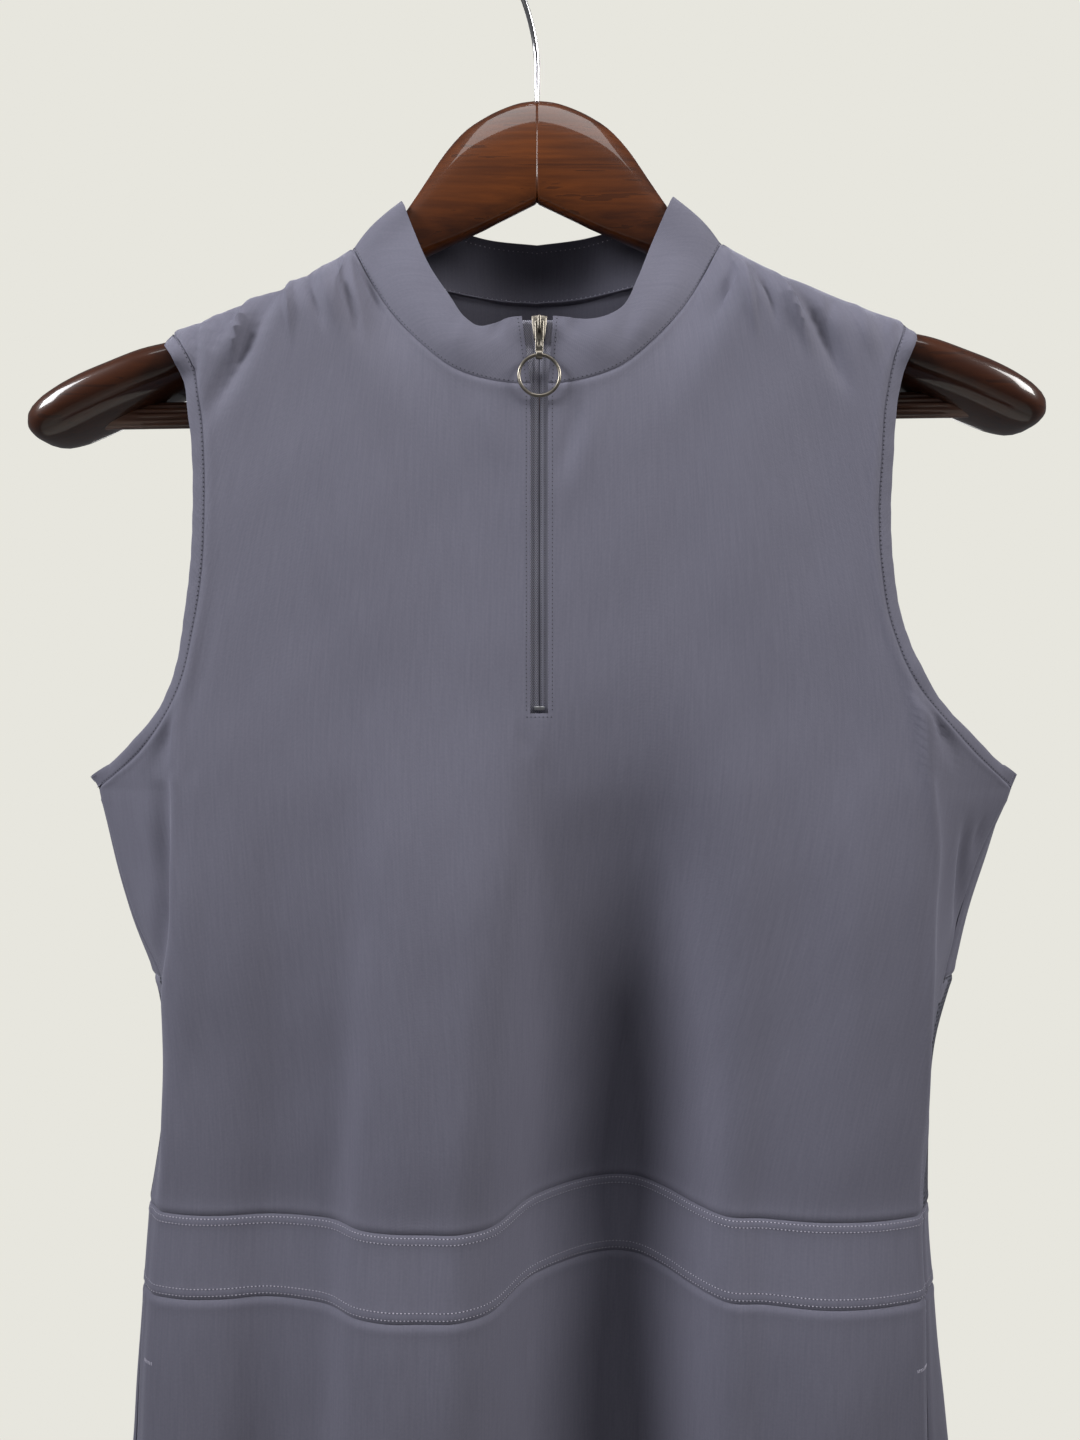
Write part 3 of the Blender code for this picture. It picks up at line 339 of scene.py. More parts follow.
levelTable = {
    "columns": ("z", "leftSeamX", "leftSeamY", "leftFoldX", "leftFoldY", "rightFoldX", "rightFoldY",
                "rightSeamX", "rightSeamY", "leftBackX", "leftBackY", "rightBackX", "rightBackY",
                "backY", "wave"),
    "rows": (
        (-147, -196, 0, -143, -31, 148, -31, 212, 0, -193, 27, 206, 27, 30, 0.00),
        (-315, -196, 0, -143, -31, 152, -31, 212, 0, -193, 25, 206, 25, 31, 0.00),
        (-350, -196, 0, -146, -31, 159, -31, 212, 0, -193, 18, 206, 18, 32, 0.04),
        (-388, -196, 0, -149, -31, 163, -31, 212, 0, -195, 11, 212, 11, 33, 0.18),
        (-412, -190, 1, -151, -30, 164, -30, 201, 1, -194, 12, 209, 12, 34, 0.32),
        (-445, -181, 2, -154, -28, 165, -28, 190, 2, -187, 13, 199, 13, 34, 0.50),
        (-474, -168, 1, -156, -25, 165, -26, 182, 1, -177, 12, 192, 12, 34, 0.66),
        (-500, -165, 1, -157, -22, 165, -24, 176, -2, -170, 8, 182, 8, 34, 0.80),
        (-540, -167, -2, -160, -19, 164, -22, 170, -10, -169, 4, 177, 3, 34, 0.94),
        (-570, -171, -6, -163, -17, 163, -21, 167, -15, -172, 1, 175, -2, 34, 1.00),
        (-604, -172, -10, -165, -20, 163, -25, 167, -19, -174, -2, 177, -4, 34, 1.02),
        (-690, -177, -10, -170, -22, 165, -26, 169, -19, -182, 0, 187, -2, 36, 1.06),
        (-850, -203, -6, -194, -24, 191, -26, 197, -16, -212, 4, 217, 2, 42, 1.12),
        (-1027, -234, -3, -222, -26, 217, -28, 226, -14, -245, 8, 249, 6, 50, 1.20),)}

frontWave = {"columns": ("x", "y", "hemY"),
    "rows": (
        (-163, -17, -17),
        (-149, -20, -21),
        (-133, -20, -15),
        (-115, -18, -8),
        (-99, -20, -13),
        (-86, -24, -24),
        (-75, -33, -34),
        (-63, -37, -39),
        (-47, -38, -40),
        (-29, -37, -37),
        (-17, -29, -28),
        (-3, -3, -4),
        (11, 11, 11),
        (28, 21, 21),
        (38, 23, 24),
        (49, 19, 21),
        (59, 7, 9),
        (68, -7, -6),
        (79, -20, -21),
        (97, -23, -26),
        (121, -27, -33),
        (144, -26, -30),
        (163, -21, -21),)}

backFolds = {"columns": ("across", "width", "depth"),
    "rows": (
        (0.24, 0.070, 13),
        (0.42, 0.060, -8),
        (0.60, 0.075, 12),
        (0.79, 0.060, -7),)}

armholeLine = {"columns": ("z", "frontLeft", "frontRight", "back"),
    "rows": (
        (-185.5, -159, 159, 159),
        (-200, -147, 152, 155),
        (-224, -141, 146, 152),
        (-250, -139, 144, 150),
        (-270, -139, 143, 150),
        (-293, -140, 144, 151),
        (-320, -144, 149, 155),
        (-345, -151, 161, 163),
        (-362, -162, 178, 174),
        (-375, -175, 193, 186),
        (-388, -196, 212, 200),)}

shoulderRidge = {"columns": ("x", "z"),
    "rows": (
        (82.5, -147),
        (94, -155.5),
        (105, -163),
        (120, -170),
        (133, -175.5),
        (147, -181),
        (159, -185.5),
        (167, -189),)}

neckFront = {"columns": ("share", "x", "y", "z"),
    "rows": (
        (0.00, 2.0, -31.0, -216.6),
        (0.10, 11.0, -31.0, -216.3),
        (0.20, 22.0, -31.0, -214.2),
        (0.33, 35.5, -30.0, -208.8),
        (0.46, 48.0, -27.5, -198.5),
        (0.61, 61.0, -22.5, -184.0),
        (0.77, 72.0, -16.0, -166.5),
        (0.90, 79.5, -10.0, -151.5),
        (1.00, 82.5, 0.0, -147.0),)}

neckBack = {"columns": ("share", "x", "y", "z"),
    "rows": (
        (0.00, 82.5, 0.0, -147.0),
        (0.14, 79.0, 10.5, -148.5),
        (0.30, 66.0, 16.0, -152.5),
        (0.53, 44.0, 20.5, -157.8),
        (0.76, 20.0, 24.5, -161.3),
        (1.00, 0.0, 26.0, -162.4),)}

collarTop = {"columns": ("share", "leftX", "rightX", "y", "leftZ", "rightZ"),
    "rows": (
        (0.00, -6.3, 6.8, -29.5, -188.2, -188.2),
        (0.12, -12.0, 12.0, -30.0, -189.0, -188.9),
        (0.24, -23.0, 21.0, -30.0, -192.3, -189.9),
        (0.36, -30.0, 29.0, -29.0, -188.3, -188.2),
        (0.50, -36.5, 37.0, -27.0, -178.5, -182.5),
        (0.65, -46.4, 43.5, -22.0, -162.0, -168.5),
        (0.80, -54.2, 50.5, -14.5, -142.6, -150.0),
        (0.91, -58.6, 58.8, -11.5, -131.0, -131.0),
        (1.00, -61.0, 61.0, 0.0, -126.5, -126.5),
        (1.14, -58.5, 58.5, 11.0, -127.0, -127.0),
        (1.40, -43.0, 43.0, 15.0, -130.5, -130.5),
        (1.72, -21.0, 21.0, 16.5, -136.0, -136.0),
        (2.00, 0.0, 0.0, 17.0, -138.3, -138.3),)}

curveStore = {}


# A column of a table at a place on its first column, on a smooth curve through the rows
def read(table, name, at):
    key = (id(table), name)
    if key not in curveStore:
        rows = sorted(table["rows"])
        xs = [float(row[0]) for row in rows]
        ys = [float(row[table["columns"].index(name)]) for row in rows]
        curveStore[key] = (xs, ys, np.gradient(ys, xs).tolist())
    xs, ys, slopes = curveStore[key]
    at = min(max(float(at), xs[0]), xs[-1])
    i = min(max(bisect.bisect_right(xs, at) - 1, 0), len(xs) - 2)
    step = xs[i + 1] - xs[i]
    t = (at - xs[i]) / step
    return ((2 * t**3 - 3 * t**2 + 1) * ys[i] + (t**3 - 2 * t**2 + t) * step * slopes[i]
            + (3 * t**2 - 2 * t**3) * ys[i + 1] + (t**3 - t**2) * step * slopes[i + 1])


def level(name, z):
    return read(levelTable, name, z)


def mix(a, b, t):
    return a + (b - a) * t


def unit(v):
    return v / np.linalg.norm(v)


def lean(p):
    share = np.clip((p[2] - cut["leanTo"]) / (cut["leanFrom"] - cut["leanTo"]), 0, 1)
    return np.array([p[0], p[1], p[2] + cut["lean"] * share * p[0]])


# 0 on the upper edge, 1 where the cloth hangs straight: round on a shoulder, soft at the neck.
def eased(drop, pastNeck):
    soft = min(max((pastNeck + 2.6) / 3.6, 0.0), 1.0)
    s = min(max(drop / mix(cut["shoulderDrop"], cut["neckDrop"], soft), 0.0), 1.0)
    return mix(math.sqrt(1 - (1 - s) ** 2), math.sin(0.5 * math.pi * s), soft)


# The front

# How far across the front a column lies, from the left fold (0) to the right fold (1).
def frontShare(k):
    width = level("rightFoldX", cut["armpit"]) - level("leftFoldX", cut["armpit"])
    slit = [(x - level("leftFoldX", cut["armpit"])) / width for x in (cut["slitLeft"], cut["slitRight"])]
    knots = (cut["frontFold"], cut["frontSlit"], cut["frontSlit"] + 1, cut["frontLast"] - cut["frontFold"])
    return float(np.interp(k, knots, (0.0, slit[0], slit[1], 1.0)))


# Depth of the front at a share of the way across it.
def frontDepth(share, z):
    x = mix(frontWave["rows"][0][0], frontWave["rows"][-1][0], share)
    hem = np.clip((cut["waistTop"] - z) / (cut["waistTop"] - cut["hem"]), 0, 1)
    waistY = read(frontWave, "y", x)
    wave = mix(waistY, read(frontWave, "hemY", x), hem)
    ends = mix(frontWave["rows"][0][1], frontWave["rows"][-1][1], share)
    edge = mix(level("leftFoldY", z), level("rightFoldY", z), share)
    return float(edge + level("wave", z) * (wave - ends))


# A point of the front at or under the armpits.
def frontSection(k, z):
    foldL = np.array([level("leftFoldX", z), level("leftFoldY", z), z])
    foldR = np.array([level("rightFoldX", z), level("rightFoldY", z), z])
    if k < cut["frontFold"]:
        seam = np.array([level("leftSeamX", z), level("leftSeamY", z), z])
        return mix(seam, foldL, k / cut["frontFold"])
    if k > cut["frontLast"] - cut["frontFold"]:
        seam = np.array([level("rightSeamX", z), level("rightSeamY", z), z])
        return mix(seam, foldR, (cut["frontLast"] - k) / cut["frontFold"])
    share = frontShare(k)
    return np.array([mix(foldL[0], foldR[0], share), frontDepth(share, z), z])


# Depth of the front above the armpits, with its sides turned back past the fold lines.
def frontSurfaceY(x, z):
    left, right = level("leftFoldX", z), level("rightFoldX", z)
    y = frontDepth(float(np.clip((x - left) / (right - left), 0, 1)), z)
    turned = np.clip((cut["sideTurn"] - z) / (cut["sideTurn"] - cut["armpit"]), 0, 1)
    for out, seam in ((left - x, "left"), (x - right, "right")):
        if out > 0:
            seamX, seamY = level(seam + "SeamX", cut["armpit"]), level(seam + "SeamY", cut["armpit"])
            foldX, foldY = level(seam + "FoldX", cut["armpit"]), level(seam + "FoldY", cut["armpit"])
            y += out * turned * (seamY - foldY) / abs(seamX - foldX)
    return y


# A point of the shoulder seam, from the armhole's stitches (0) to the neck (1).
def ridgePoint(share, side):
    x = mix(armholeLine["rows"][0][2], shoulderRidge["rows"][0][0], share)
    return np.array([side * x, 0.0, float(read(shoulderRidge, "z", x))])


def neckPoint(table, share, side):
    return np.array([side * float(read(table, "x", share)),
                     float(read(table, "y", share)),
                     float(read(table, "z", share))])


# The front's upper edge: the shoulder seam, then the neck seam, up to the zip.
def frontTop(k):
    side = -1 if k <= cut["frontSlit"] else 1
    near = k if side < 0 else cut["frontLast"] - k
    if near <= cut["frontNeck"]:
        return ridgePoint(near / cut["frontNeck"], side)
    share = (cut["frontSlit"] - near) / (cut["frontSlit"] - cut["frontNeck"])
    if near > cut["frontSlit"]:
        share = 0.0
    p = neckPoint(neckFront, share, side)
    slit = cut["slitLeft"] if side < 0 else cut["slitRight"]
    if share < 0.1:
        p[0] = mix(slit, neckPoint(neckFront, 0.1, side)[0], share / 0.1)
    return p


# A column's place once the armhole draws the edge in to its stitched line.
def drawnIn(x, neckX, edgeX, lineX):
    return neckX + (x - neckX) * (lineX - neckX) / (edgeX - neckX)


# A point of the front between its upper edge (v = 0) and the armpits (v = 1).
def frontUpper(k, v):
    top, foot = frontTop(k), frontSection(k, cut["armpit"])
    p = mix(top, foot, v)
    left = k < cut["frontLast"] / 2
    near = min(k, cut["frontLast"] - k)
    if near < cut["frontNeck"]:
        edge, neck = 0, cut["frontNeck"]
        if not left:
            edge, neck = cut["frontLast"], cut["frontLast"] - cut["frontNeck"]
        edgeP = mix(frontTop(edge), frontSection(edge, cut["armpit"]), v)
        neckP = mix(frontTop(neck), frontSection(neck, cut["armpit"]), v)
        line = read(armholeLine, "frontLeft" if left else "frontRight", edgeP[2])
        p[0] = drawnIn(p[0], neckP[0], edgeP[0], float(line))
    hang = frontSurfaceY(p[0], p[2]) - top[1]
    p[1] = top[1] + hang * eased(top[2] - p[2], near - cut["frontNeck"])
    return p


# The back

# Depth of the back at a share of the way from its right side to its left.
def backDepth(share, z):
    edge = mix(level("rightBackY", z), level("leftBackY", z), share)
    y = edge + (level("backY", z) - edge) * (1 - abs(2 * share - 1) ** 2.6)
    grown = np.clip((cut["backFoldStart"] - z) / (cut["backFoldStart"] - cut["hem"]), 0, 1) ** 0.8
    for centre, width, depth in backFolds["rows"]:
        y += depth * grown * math.exp(-(((share - centre) / width) ** 2))
    return float(y)


# A point of the back at or under the armpits.
def backSection(k, z):
    for side, near in (("right", k), ("left", cut["backLast"] - k)):
        if near < cut["backSide"]:
            seam = np.array([level(side + "SeamX", z), level(side + "SeamY", z), z])
            turn = np.array([level(side + "BackX", z), level(side + "BackY", z), z])
            return mix(seam, turn, near / cut["backSide"])
    share = (k - cut["backSide"]) / (cut["backLast"] - 2 * cut["backSide"])
    x = mix(level("rightBackX", z), level("leftBackX", z), share)
    return np.array([x, backDepth(share, z), z])


# The back's upper edge, from the right armhole over the neck to the left armhole.
def backTop(k):
    if k <= cut["backNeck"]:
        return ridgePoint(k / cut["backNeck"], 1)
    if k >= cut["backNeckEnd"]:
        return ridgePoint((cut["backLast"] - k) / cut["backNeck"], -1)
    middle = 0.5 * (cut["backNeck"] + cut["backNeckEnd"])
    side = 1 if k <= middle else -1
    return neckPoint(neckBack, 1 - abs(k - middle) / (middle - cut["backNeck"]), side)


# A point of the back between its upper edge (v = 0) and the armpits (v = 1).
def backUpper(k, v):
    top, foot = backTop(k), backSection(k, cut["armpit"])
    p = mix(top, foot, v)
    side = 1 if k < cut["backLast"] / 2 else -1
    near = min(k, cut["backLast"] - k)
    if near < cut["backNeck"]:
        edge, neck = (0, cut["backNeck"]) if side > 0 else (cut["backLast"], cut["backNeckEnd"])
        edgeP = mix(backTop(edge), backSection(edge, cut["armpit"]), v)
        neckP = mix(backTop(neck), backSection(neck, cut["armpit"]), v)
        line = side * float(read(armholeLine, "back", edgeP[2]))
        line += (backSection(edge, cut["armpit"])[0] - side * armholeLine["rows"][-1][3]) * v**6
        p[0] = drawnIn(p[0], neckP[0], edgeP[0], line)
    right, left = level("rightBackX", p[2]), level("leftBackX", p[2])
    share = float(np.clip((p[0] - right) / (left - right), 0, 1))
    hang = mix(backDepth(share, p[2]), foot[1], v**4)
    p[1] = top[1] + (hang - top[1]) * eased(top[2] - p[2], near - cut["backNeck"])
    return p


# Rows and columns of the panels

# how fine they are: mm between rows, steps between the cut's own columns and lines beside its sides
fine = {"row": 4.5, "bandRow": 3.6, "skirtRow": 5.2, "upperRow": 1 / 46, "upperLength": 215.0,
        "front": 1 / 4, "gathers": 1 / 8, "back": 1 / 5, "sides": (0.06, 0.14)}
slitShare = (cut["slitBottom"] - cut["neckFoot"]) / (cut["armpit"] - cut["neckFoot"])
upperRows = (0, 0.012, 0.035, 0.075, 0.13, 0.22, 0.33, 0.44, 0.55, 0.65, 0.75, slitShare, 0.90, 0.96, 1.0)
chestRows = (cut["armpit"], -409.0, -430.0, -452.0, cut["meshTop"])
meshRows = (cut["meshTop"], -497.0, -521.0, -545.0, cut["waistTop"])
bandRows = (cut["waistTop"], cut["waistBottom"])
skirtRows = tuple(np.linspace(cut["waistBottom"], cut["hem"], 10))


# All the knots, steps no wider than asked between them, and close lines beside both ends
def spread(knots, step, close=()):
    values = set()
    for a, b in zip(knots[:-1], knots[1:]):
        count = max(1, math.ceil(abs(b - a) / step))
        values.update(round(a + (b - a) * n / count, 6) for n in range(count + 1))
    way = 1 if knots[-1] > knots[0] else -1
    for gap in close:
        values.update((round(knots[0] + way * gap, 6), round(knots[-1] - way * gap, 6)))
    return sorted(values, reverse=way < 0)


closeLines = (0.7, 1.6, 3.0, 4.6)  # mm beside a seam
closeShares = tuple(gap / fine["upperLength"] for gap in closeLines)
leftGathers = range(cut["frontNeck"] + 1)
rightGathers = range(cut["frontLast"] - cut["frontNeck"], cut["frontLast"] + 1)
frontColumns = sorted(set(spread(range(cut["frontLast"] + 1), fine["front"], fine["sides"]))
                      | set(spread(leftGathers, fine["gathers"]))
                      | set(spread(rightGathers, fine["gathers"])))
backColumns = spread(range(cut["backLast"] + 1), fine["back"], fine["sides"])


# Creases of the cloth: both ends in x and z, half width and depth in mm; a ridge is below zero
creases = {
    "front": (
        (-78, -156, -68, -181, 1.8, 3.1), (-81, -157, -73, -192, 1.5, -1.9),
        (-86, -160, -76, -194, 2, 2.8), (-92, -163, -84, -188, 1.6, -1.9),
        (-99, -166, -90, -190, 1.8, 2.4), (-105, -170, -103, -193, 1.5, -2.2),
        (-110, -171, -136, -226, 3.8, 4), (-122, -178, -128, -207, 2, -2.4),
        (-128, -181, -140, -203, 2, 2.6), (-138, -185, -139, -205, 1.6, -1.6),
        (-145, -188, -143, -214, 1.6, 2.1), (85, -157, 75, -186, 2.1, 3.3),
        (76, -157, 69, -183, 1.6, -1.6), (92, -162, 100, -188, 1.8, 2.8), (88, -161, 91, -192, 1.5, -1.9),
        (103, -169, 114, -198, 1.8, -2.9), (107, -170, 128, -214, 3.4, 4),
        (125, -178, 122, -192, 2.5, 1.5), (136, -181, 140, -202, 2.5, -1.6),
        (144, -185, 147, -206, 2, 1.4), (151, -187, 147, -197, 1.6, -1.6), (17, -226, 10, -254, 4.0, 1.3),
        (26, -224, 16, -262, 5.0, -0.8), (-22, -225, -14, -250, 4.6, -0.7),
        (-120, -235, -100, -330, 12, 0.9), (-70, -236, -62, -330, 13, -0.8),
        (-40, -250, -38, -345, 10, 0.6), (48, -232, 60, -320, 13, 0.9), (86, -228, 92, -330, 12, -0.9),
        (118, -226, 116, -318, 11, 0.8), (140, -300, 158, -356, 6, 1.0), (-138, -305, -150, -362, 6, 0.9),
        (150, -330, 172, -372, 4.5, -0.8), (-146, -338, -168, -380, 4.5, -0.8),
        (-6, -362, -4, -372, 2.6, 0.6), (1, -359, 3, -376, 2.4, -0.5),
        # the folds that part the wings from the front: a bright ridge and a valley behind it
        (-145.5, -300, -152.7, -392, 3.2, -2.6), (-153, -400, -161, -550, 3.2, -2.4),
        (-157, -344, -159.5, -376, 4.8, 2.8), (-159, -378, -161.5, -424, 4.6, 3.0),
        (-160.5, -412, -162.5, -466, 4.4, 5.6), (160, -326, 169, -412, 3.0, -2.6),
        (169, -424, 170, -556, 3.0, -2.4), (167, -342, 174, -372, 2.6, 3.6),
        (186.5, -404, 187, -446, 2.8, 3.2), (196, -402, 194, -416, 2.4, 1.4),
        (-118, -372, -108, -520, 9, 0.8), (-56, -392, -50, -545, 9, -0.6),
        (104, -380, 110, -530, 11, 0.9), (138, -395, 134, -540, 8, -0.8),
        (-140, -400, -146, -560, 7, 0.7), (128, -330, 120, -420, 9, 0.7),
        (-176, -400, -160, -452, 5, 0.9), (178, -402, 170, -456, 5, 0.9),
        (-160, -480, -154, -560, 4, -0.6), (-112, -612, -116, -760, 11, 1.2),
        (-134, -640, -140, -900, 9, -1.0), (-92, -660, -88, -840, 8, 0.9),
        (-60, -620, -56, -800, 10, -0.8), (96, -612, 100, -760, 10, 1.0),
        (124, -640, 132, -880, 10, -1.1), (146, -625, 152, -770, 7, 0.9), (62, -640, 64, -800, 6, -0.8),
        (-20, -620, -22, -740, 6, 0.8), (-168, -640, -178, -760, 6, 0.8), (166, -650, 176, -800, 6, 0.8),
        (-100, -850, -96, -1010, 9, -1.2), (110, -850, 118, -1015, 10, 1.2),
        (-155, -820, -168, -1005, 9, 1.3), (176, -860, 188, -1000, 8, -1.2),
    ),
    "collar": (
        (42, -177, 34, -201, 3.5, 1.0), (-48, -162, -42, -194, 3.5, 0.9),
        (-15.4, -190, -18.5, -198, 1.7, 1.1), (16, -190, 14.4, -197, 1.6, 1.2),
        (-30, -190, -34, -203, 3.0, -0.6), (26, -192, 24, -205, 3.0, -0.6),
        (52, -160, 50, -180, 4.0, 0.7), (-30, -134, -30, -158, 9.0, 0.8), (22, -136, 24, -160, 9.0, -0.8),
    ),
    "back": (
        (60, -154, 74, -196, 4.5, 1.2), (78, -152, 94, -186, 3.4, -1.2), (92, -157, 110, -190, 3.4, 1.3),
        (108, -165, 126, -196, 3.4, -1.0), (126, -173, 140, -204, 3.4, 0.9),
        (-62, -154, -76, -200, 4.5, 1.2), (-80, -152, -97, -188, 3.4, -1.2),
        (-95, -158, -113, -192, 3.4, 1.2), (-112, -166, -129, -198, 3.4, -1.0),
        (-128, -173, -142, -205, 3.4, 0.9), (-20, -168, -32, -236, 12, -1.0),
        (28, -170, 40, -250, 13, 1.1), (-60, -230, -90, -330, 12, 1.2), (66, -226, 96, -320, 13, -1.1),
        (0, -205, 6, -300, 14, 0.9), (-138, -300, -168, -370, 6, 1.1), (140, -296, 176, -366, 6, 1.1),
        (-120, -330, -150, -400, 7, -1.0), (118, -335, 152, -405, 8, -1.0),
        (-60, -380, -54, -470, 12, 1.0), (40, -385, 34, -470, 12, -1.0), (110, -400, 104, -470, 10, 1.0),
        (-118, -405, -112, -470, 10, -0.9), (-90, -480, -84, -566, 8, 1.0),
        (-20, -482, -16, -566, 9, -0.9), (60, -480, 66, -566, 8, 1.0), (120, -484, 124, -566, 8, -0.9),
        (-120, -612, -128, -800, 11, 1.2), (-60, -620, -62, -860, 12, -1.3), (0, -615, 4, -800, 11, 1.1),
        (66, -625, 74, -850, 12, -1.2), (128, -615, 140, -820, 11, 1.2),
        (-170, -640, -186, -900, 9, -1.0), (176, -650, 196, -880, 9, -1.0),
        (-100, -840, -108, -1015, 12, 1.3), (30, -850, 34, -1015, 12, 1.2),
        (110, -850, 120, -1015, 12, -1.3), (-30, -830, -34, -1010, 10, -1.0),
    ),
}


# How far a point is pushed in by the creases of its side
def creaseDepth(points, rows):
    depth = np.zeros(points.shape[:2])
    x, z = points[..., 0], points[..., 2]
    for x0, z0, x1, z1, wide, deep in rows:
        ax, az = x1 - x0, z1 - z0
        length = math.hypot(ax, az)
        t = ((x - x0) * ax + (z - z0) * az) / length**2
        off = ((x - x0) * az - (z - z0) * ax) / length
        bowed = off + 0.05 * length * np.sin(np.pi * np.clip(t, 0, 1)) * (1 if deep > 0 else -1) * 0.4
        fade = np.where((t > -0.25) & (t < 1.25), np.sin(np.pi * np.clip((t + 0.25) / 1.5, 0, 1)) ** 1.5, 0)
        depth += deep * fade * np.exp(-((bowed / wide) ** 2))
    return depth


# Slow unevenness that no real cloth is without
def unevenness(points):
    x, z = points[..., 0], points[..., 2]
    return (0.30 * np.sin(x / 17 + z / 41 + 1.1) * np.sin(z / 29 - x / 53)
            + 0.16 * np.sin(x / 7.3 - z / 19 + 0.4) * np.sin(z / 13 + x / 31))


def normalsOf(grid):
    across = np.gradient(grid, axis=1)
    down = np.gradient(grid, axis=0)
    out = np.cross(down, across)
    return out / np.maximum(np.linalg.norm(out, axis=2, keepdims=True), 1e-9)


# Rounds a fold line: the columns near it are drawn to their neighbours, edges stay
def rounded(grid, places, columns, reach, passes):
    ks = np.array(columns)
    weight = np.zeros(len(ks))
    for place in places:
        weight = np.maximum(weight, np.clip(1 - np.abs(ks - place) / reach, 0, 1))
    weight = (weight * weight * (3 - 2 * weight))[None, 1:-1, None]
    for _ in range(passes):
        middle = 0.5 * (grid[:, :-2] + grid[:, 2:])
        grid[:, 1:-1] += 0.5 * weight * (middle - grid[:, 1:-1])
    return grid


# Eases the rows of a panel, first and last row and the side edges left where they are
def easedRows(grid, passes):
    for _ in range(passes):
        middle = 0.5 * (grid[:-2] + grid[2:])
        grid[1:-1, 1:-1] += 0.35 * (middle - grid[1:-1])[:, 1:-1]
    return grid


def arcs(grid, axis):
    steps = np.linalg.norm(np.diff(grid, axis=axis), axis=2)
    zero = np.zeros_like(np.take(steps, [0], axis))
    return np.concatenate([zero, np.cumsum(steps, axis=axis)], axis)


# A sewn edge turns under: a small step down at the seam and a low welt beside it
def seamStep(distance):
    return 0.55 * np.exp(-((distance / 0.9) ** 2)) - 0.22 * np.exp(-(((distance - 3.0) / 1.8) ** 2))


# The two sides of the dress: how their points are worked out, their columns, and how soft their folds are
sides = {
    "front": {"upper": frontUpper, "section": frontSection, "columns": frontColumns, "passes": 30,
              "folds": (cut["frontFold"], cut["frontLast"] - cut["frontFold"])},
    "back": {"upper": backUpper, "section": backSection, "columns": backColumns, "passes": 9,
             "folds": (cut["backSide"], cut["backLast"] - cut["backSide"])},
}
foldReach = 2.2
allSides = ("top", "bottom", "first", "last")


# One panel: its points in mm, its outward directions and its own flat coordinates
def makePanel(side, shares, levels, seams=allSides):
    cloth = sides[side]
    grid = [[cloth["upper"](k, v) for k in cloth["columns"]] for v in shares]
    grid += [[cloth["section"](k, z) for k in cloth["columns"]] for z in levels]
    grid = np.array([[lean(p) for p in row] for row in grid])
    grid = rounded(grid, cloth["folds"], cloth["columns"], foldReach, cloth["passes"])
    grid = easedRows(grid, 2)
    return dressed(grid, side, seams)


# Where seams hold the cloth flat: how far from each its creases start, in mm
flatAt = {"neckX": 88, "neckSide": 5, "neckDrop": 9, "armholeTop": -270, "armholeTopFade": 20,
          "armholeFoot": -402, "armholeFootFade": 26, "band": 1.5, "bandFade": 8}


def dressed(grid, side, seams, uneven=1.0):
    normals = normalsOf(grid)
    across, down = arcs(grid, 1), arcs(grid, 0)
    depth = creaseDepth(grid, creases[side]) if side else np.zeros(grid.shape[:2])
    if side in sides:
        # along the neck's seam, where the collar holds the cloth
        atNeck = np.clip((flatAt["neckX"] - np.abs(grid[0, :, 0])) / flatAt["neckSide"], 0, 1)
        depth = depth * (1 - atNeck * np.clip(1 - down / flatAt["neckDrop"], 0, 1) ** 1.3)
        # beside the lower half of the armhole, where its band holds the cloth
        toEdge = np.minimum(across, across[:, -1:] - across)
        z = grid[..., 2]
        lowArmhole = (np.clip((flatAt["armholeTop"] - z) / flatAt["armholeTopFade"], 0, 1)
                      * np.clip((z - flatAt["armholeFoot"]) / flatAt["armholeFootFade"], 0, 1))
        depth = depth * (1 - lowArmhole * np.clip(1 - (toEdge - flatAt["band"]) / flatAt["bandFade"], 0, 1))
    depth = depth + uneven * unevenness(grid)
    away = {"top": down, "bottom": down[-1] - down, "first": across, "last": across[:, -1:] - across}
    for name in seams:
        depth = depth + seamStep(away[name])
    grid = grid - normals * depth[..., None]
    return {"grid": grid, "normals": normalsOf(grid), "across": across, "down": down}


def endPiece(obj, material, node, slot, rider=carrier):
    obj.data.materials.clear()
    obj.data.materials.append(material)
    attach(obj, rider)
    if node:
        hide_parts(node)
    return obj


# Turns all faces of the chosen mesh outward
def facedOut():
    bpy.ops.object.mode_set(mode="EDIT")
    bpy.ops.mesh.select_all(action="SELECT")
    bpy.ops.mesh.normals_make_consistent(inside=False)
    bpy.ops.object.mode_set(mode="OBJECT")


def onlyThis(obj):
    bpy.ops.object.select_all(action="DESELECT")
    obj.select_set(True)
    bpy.context.view_layer.objects.active = obj


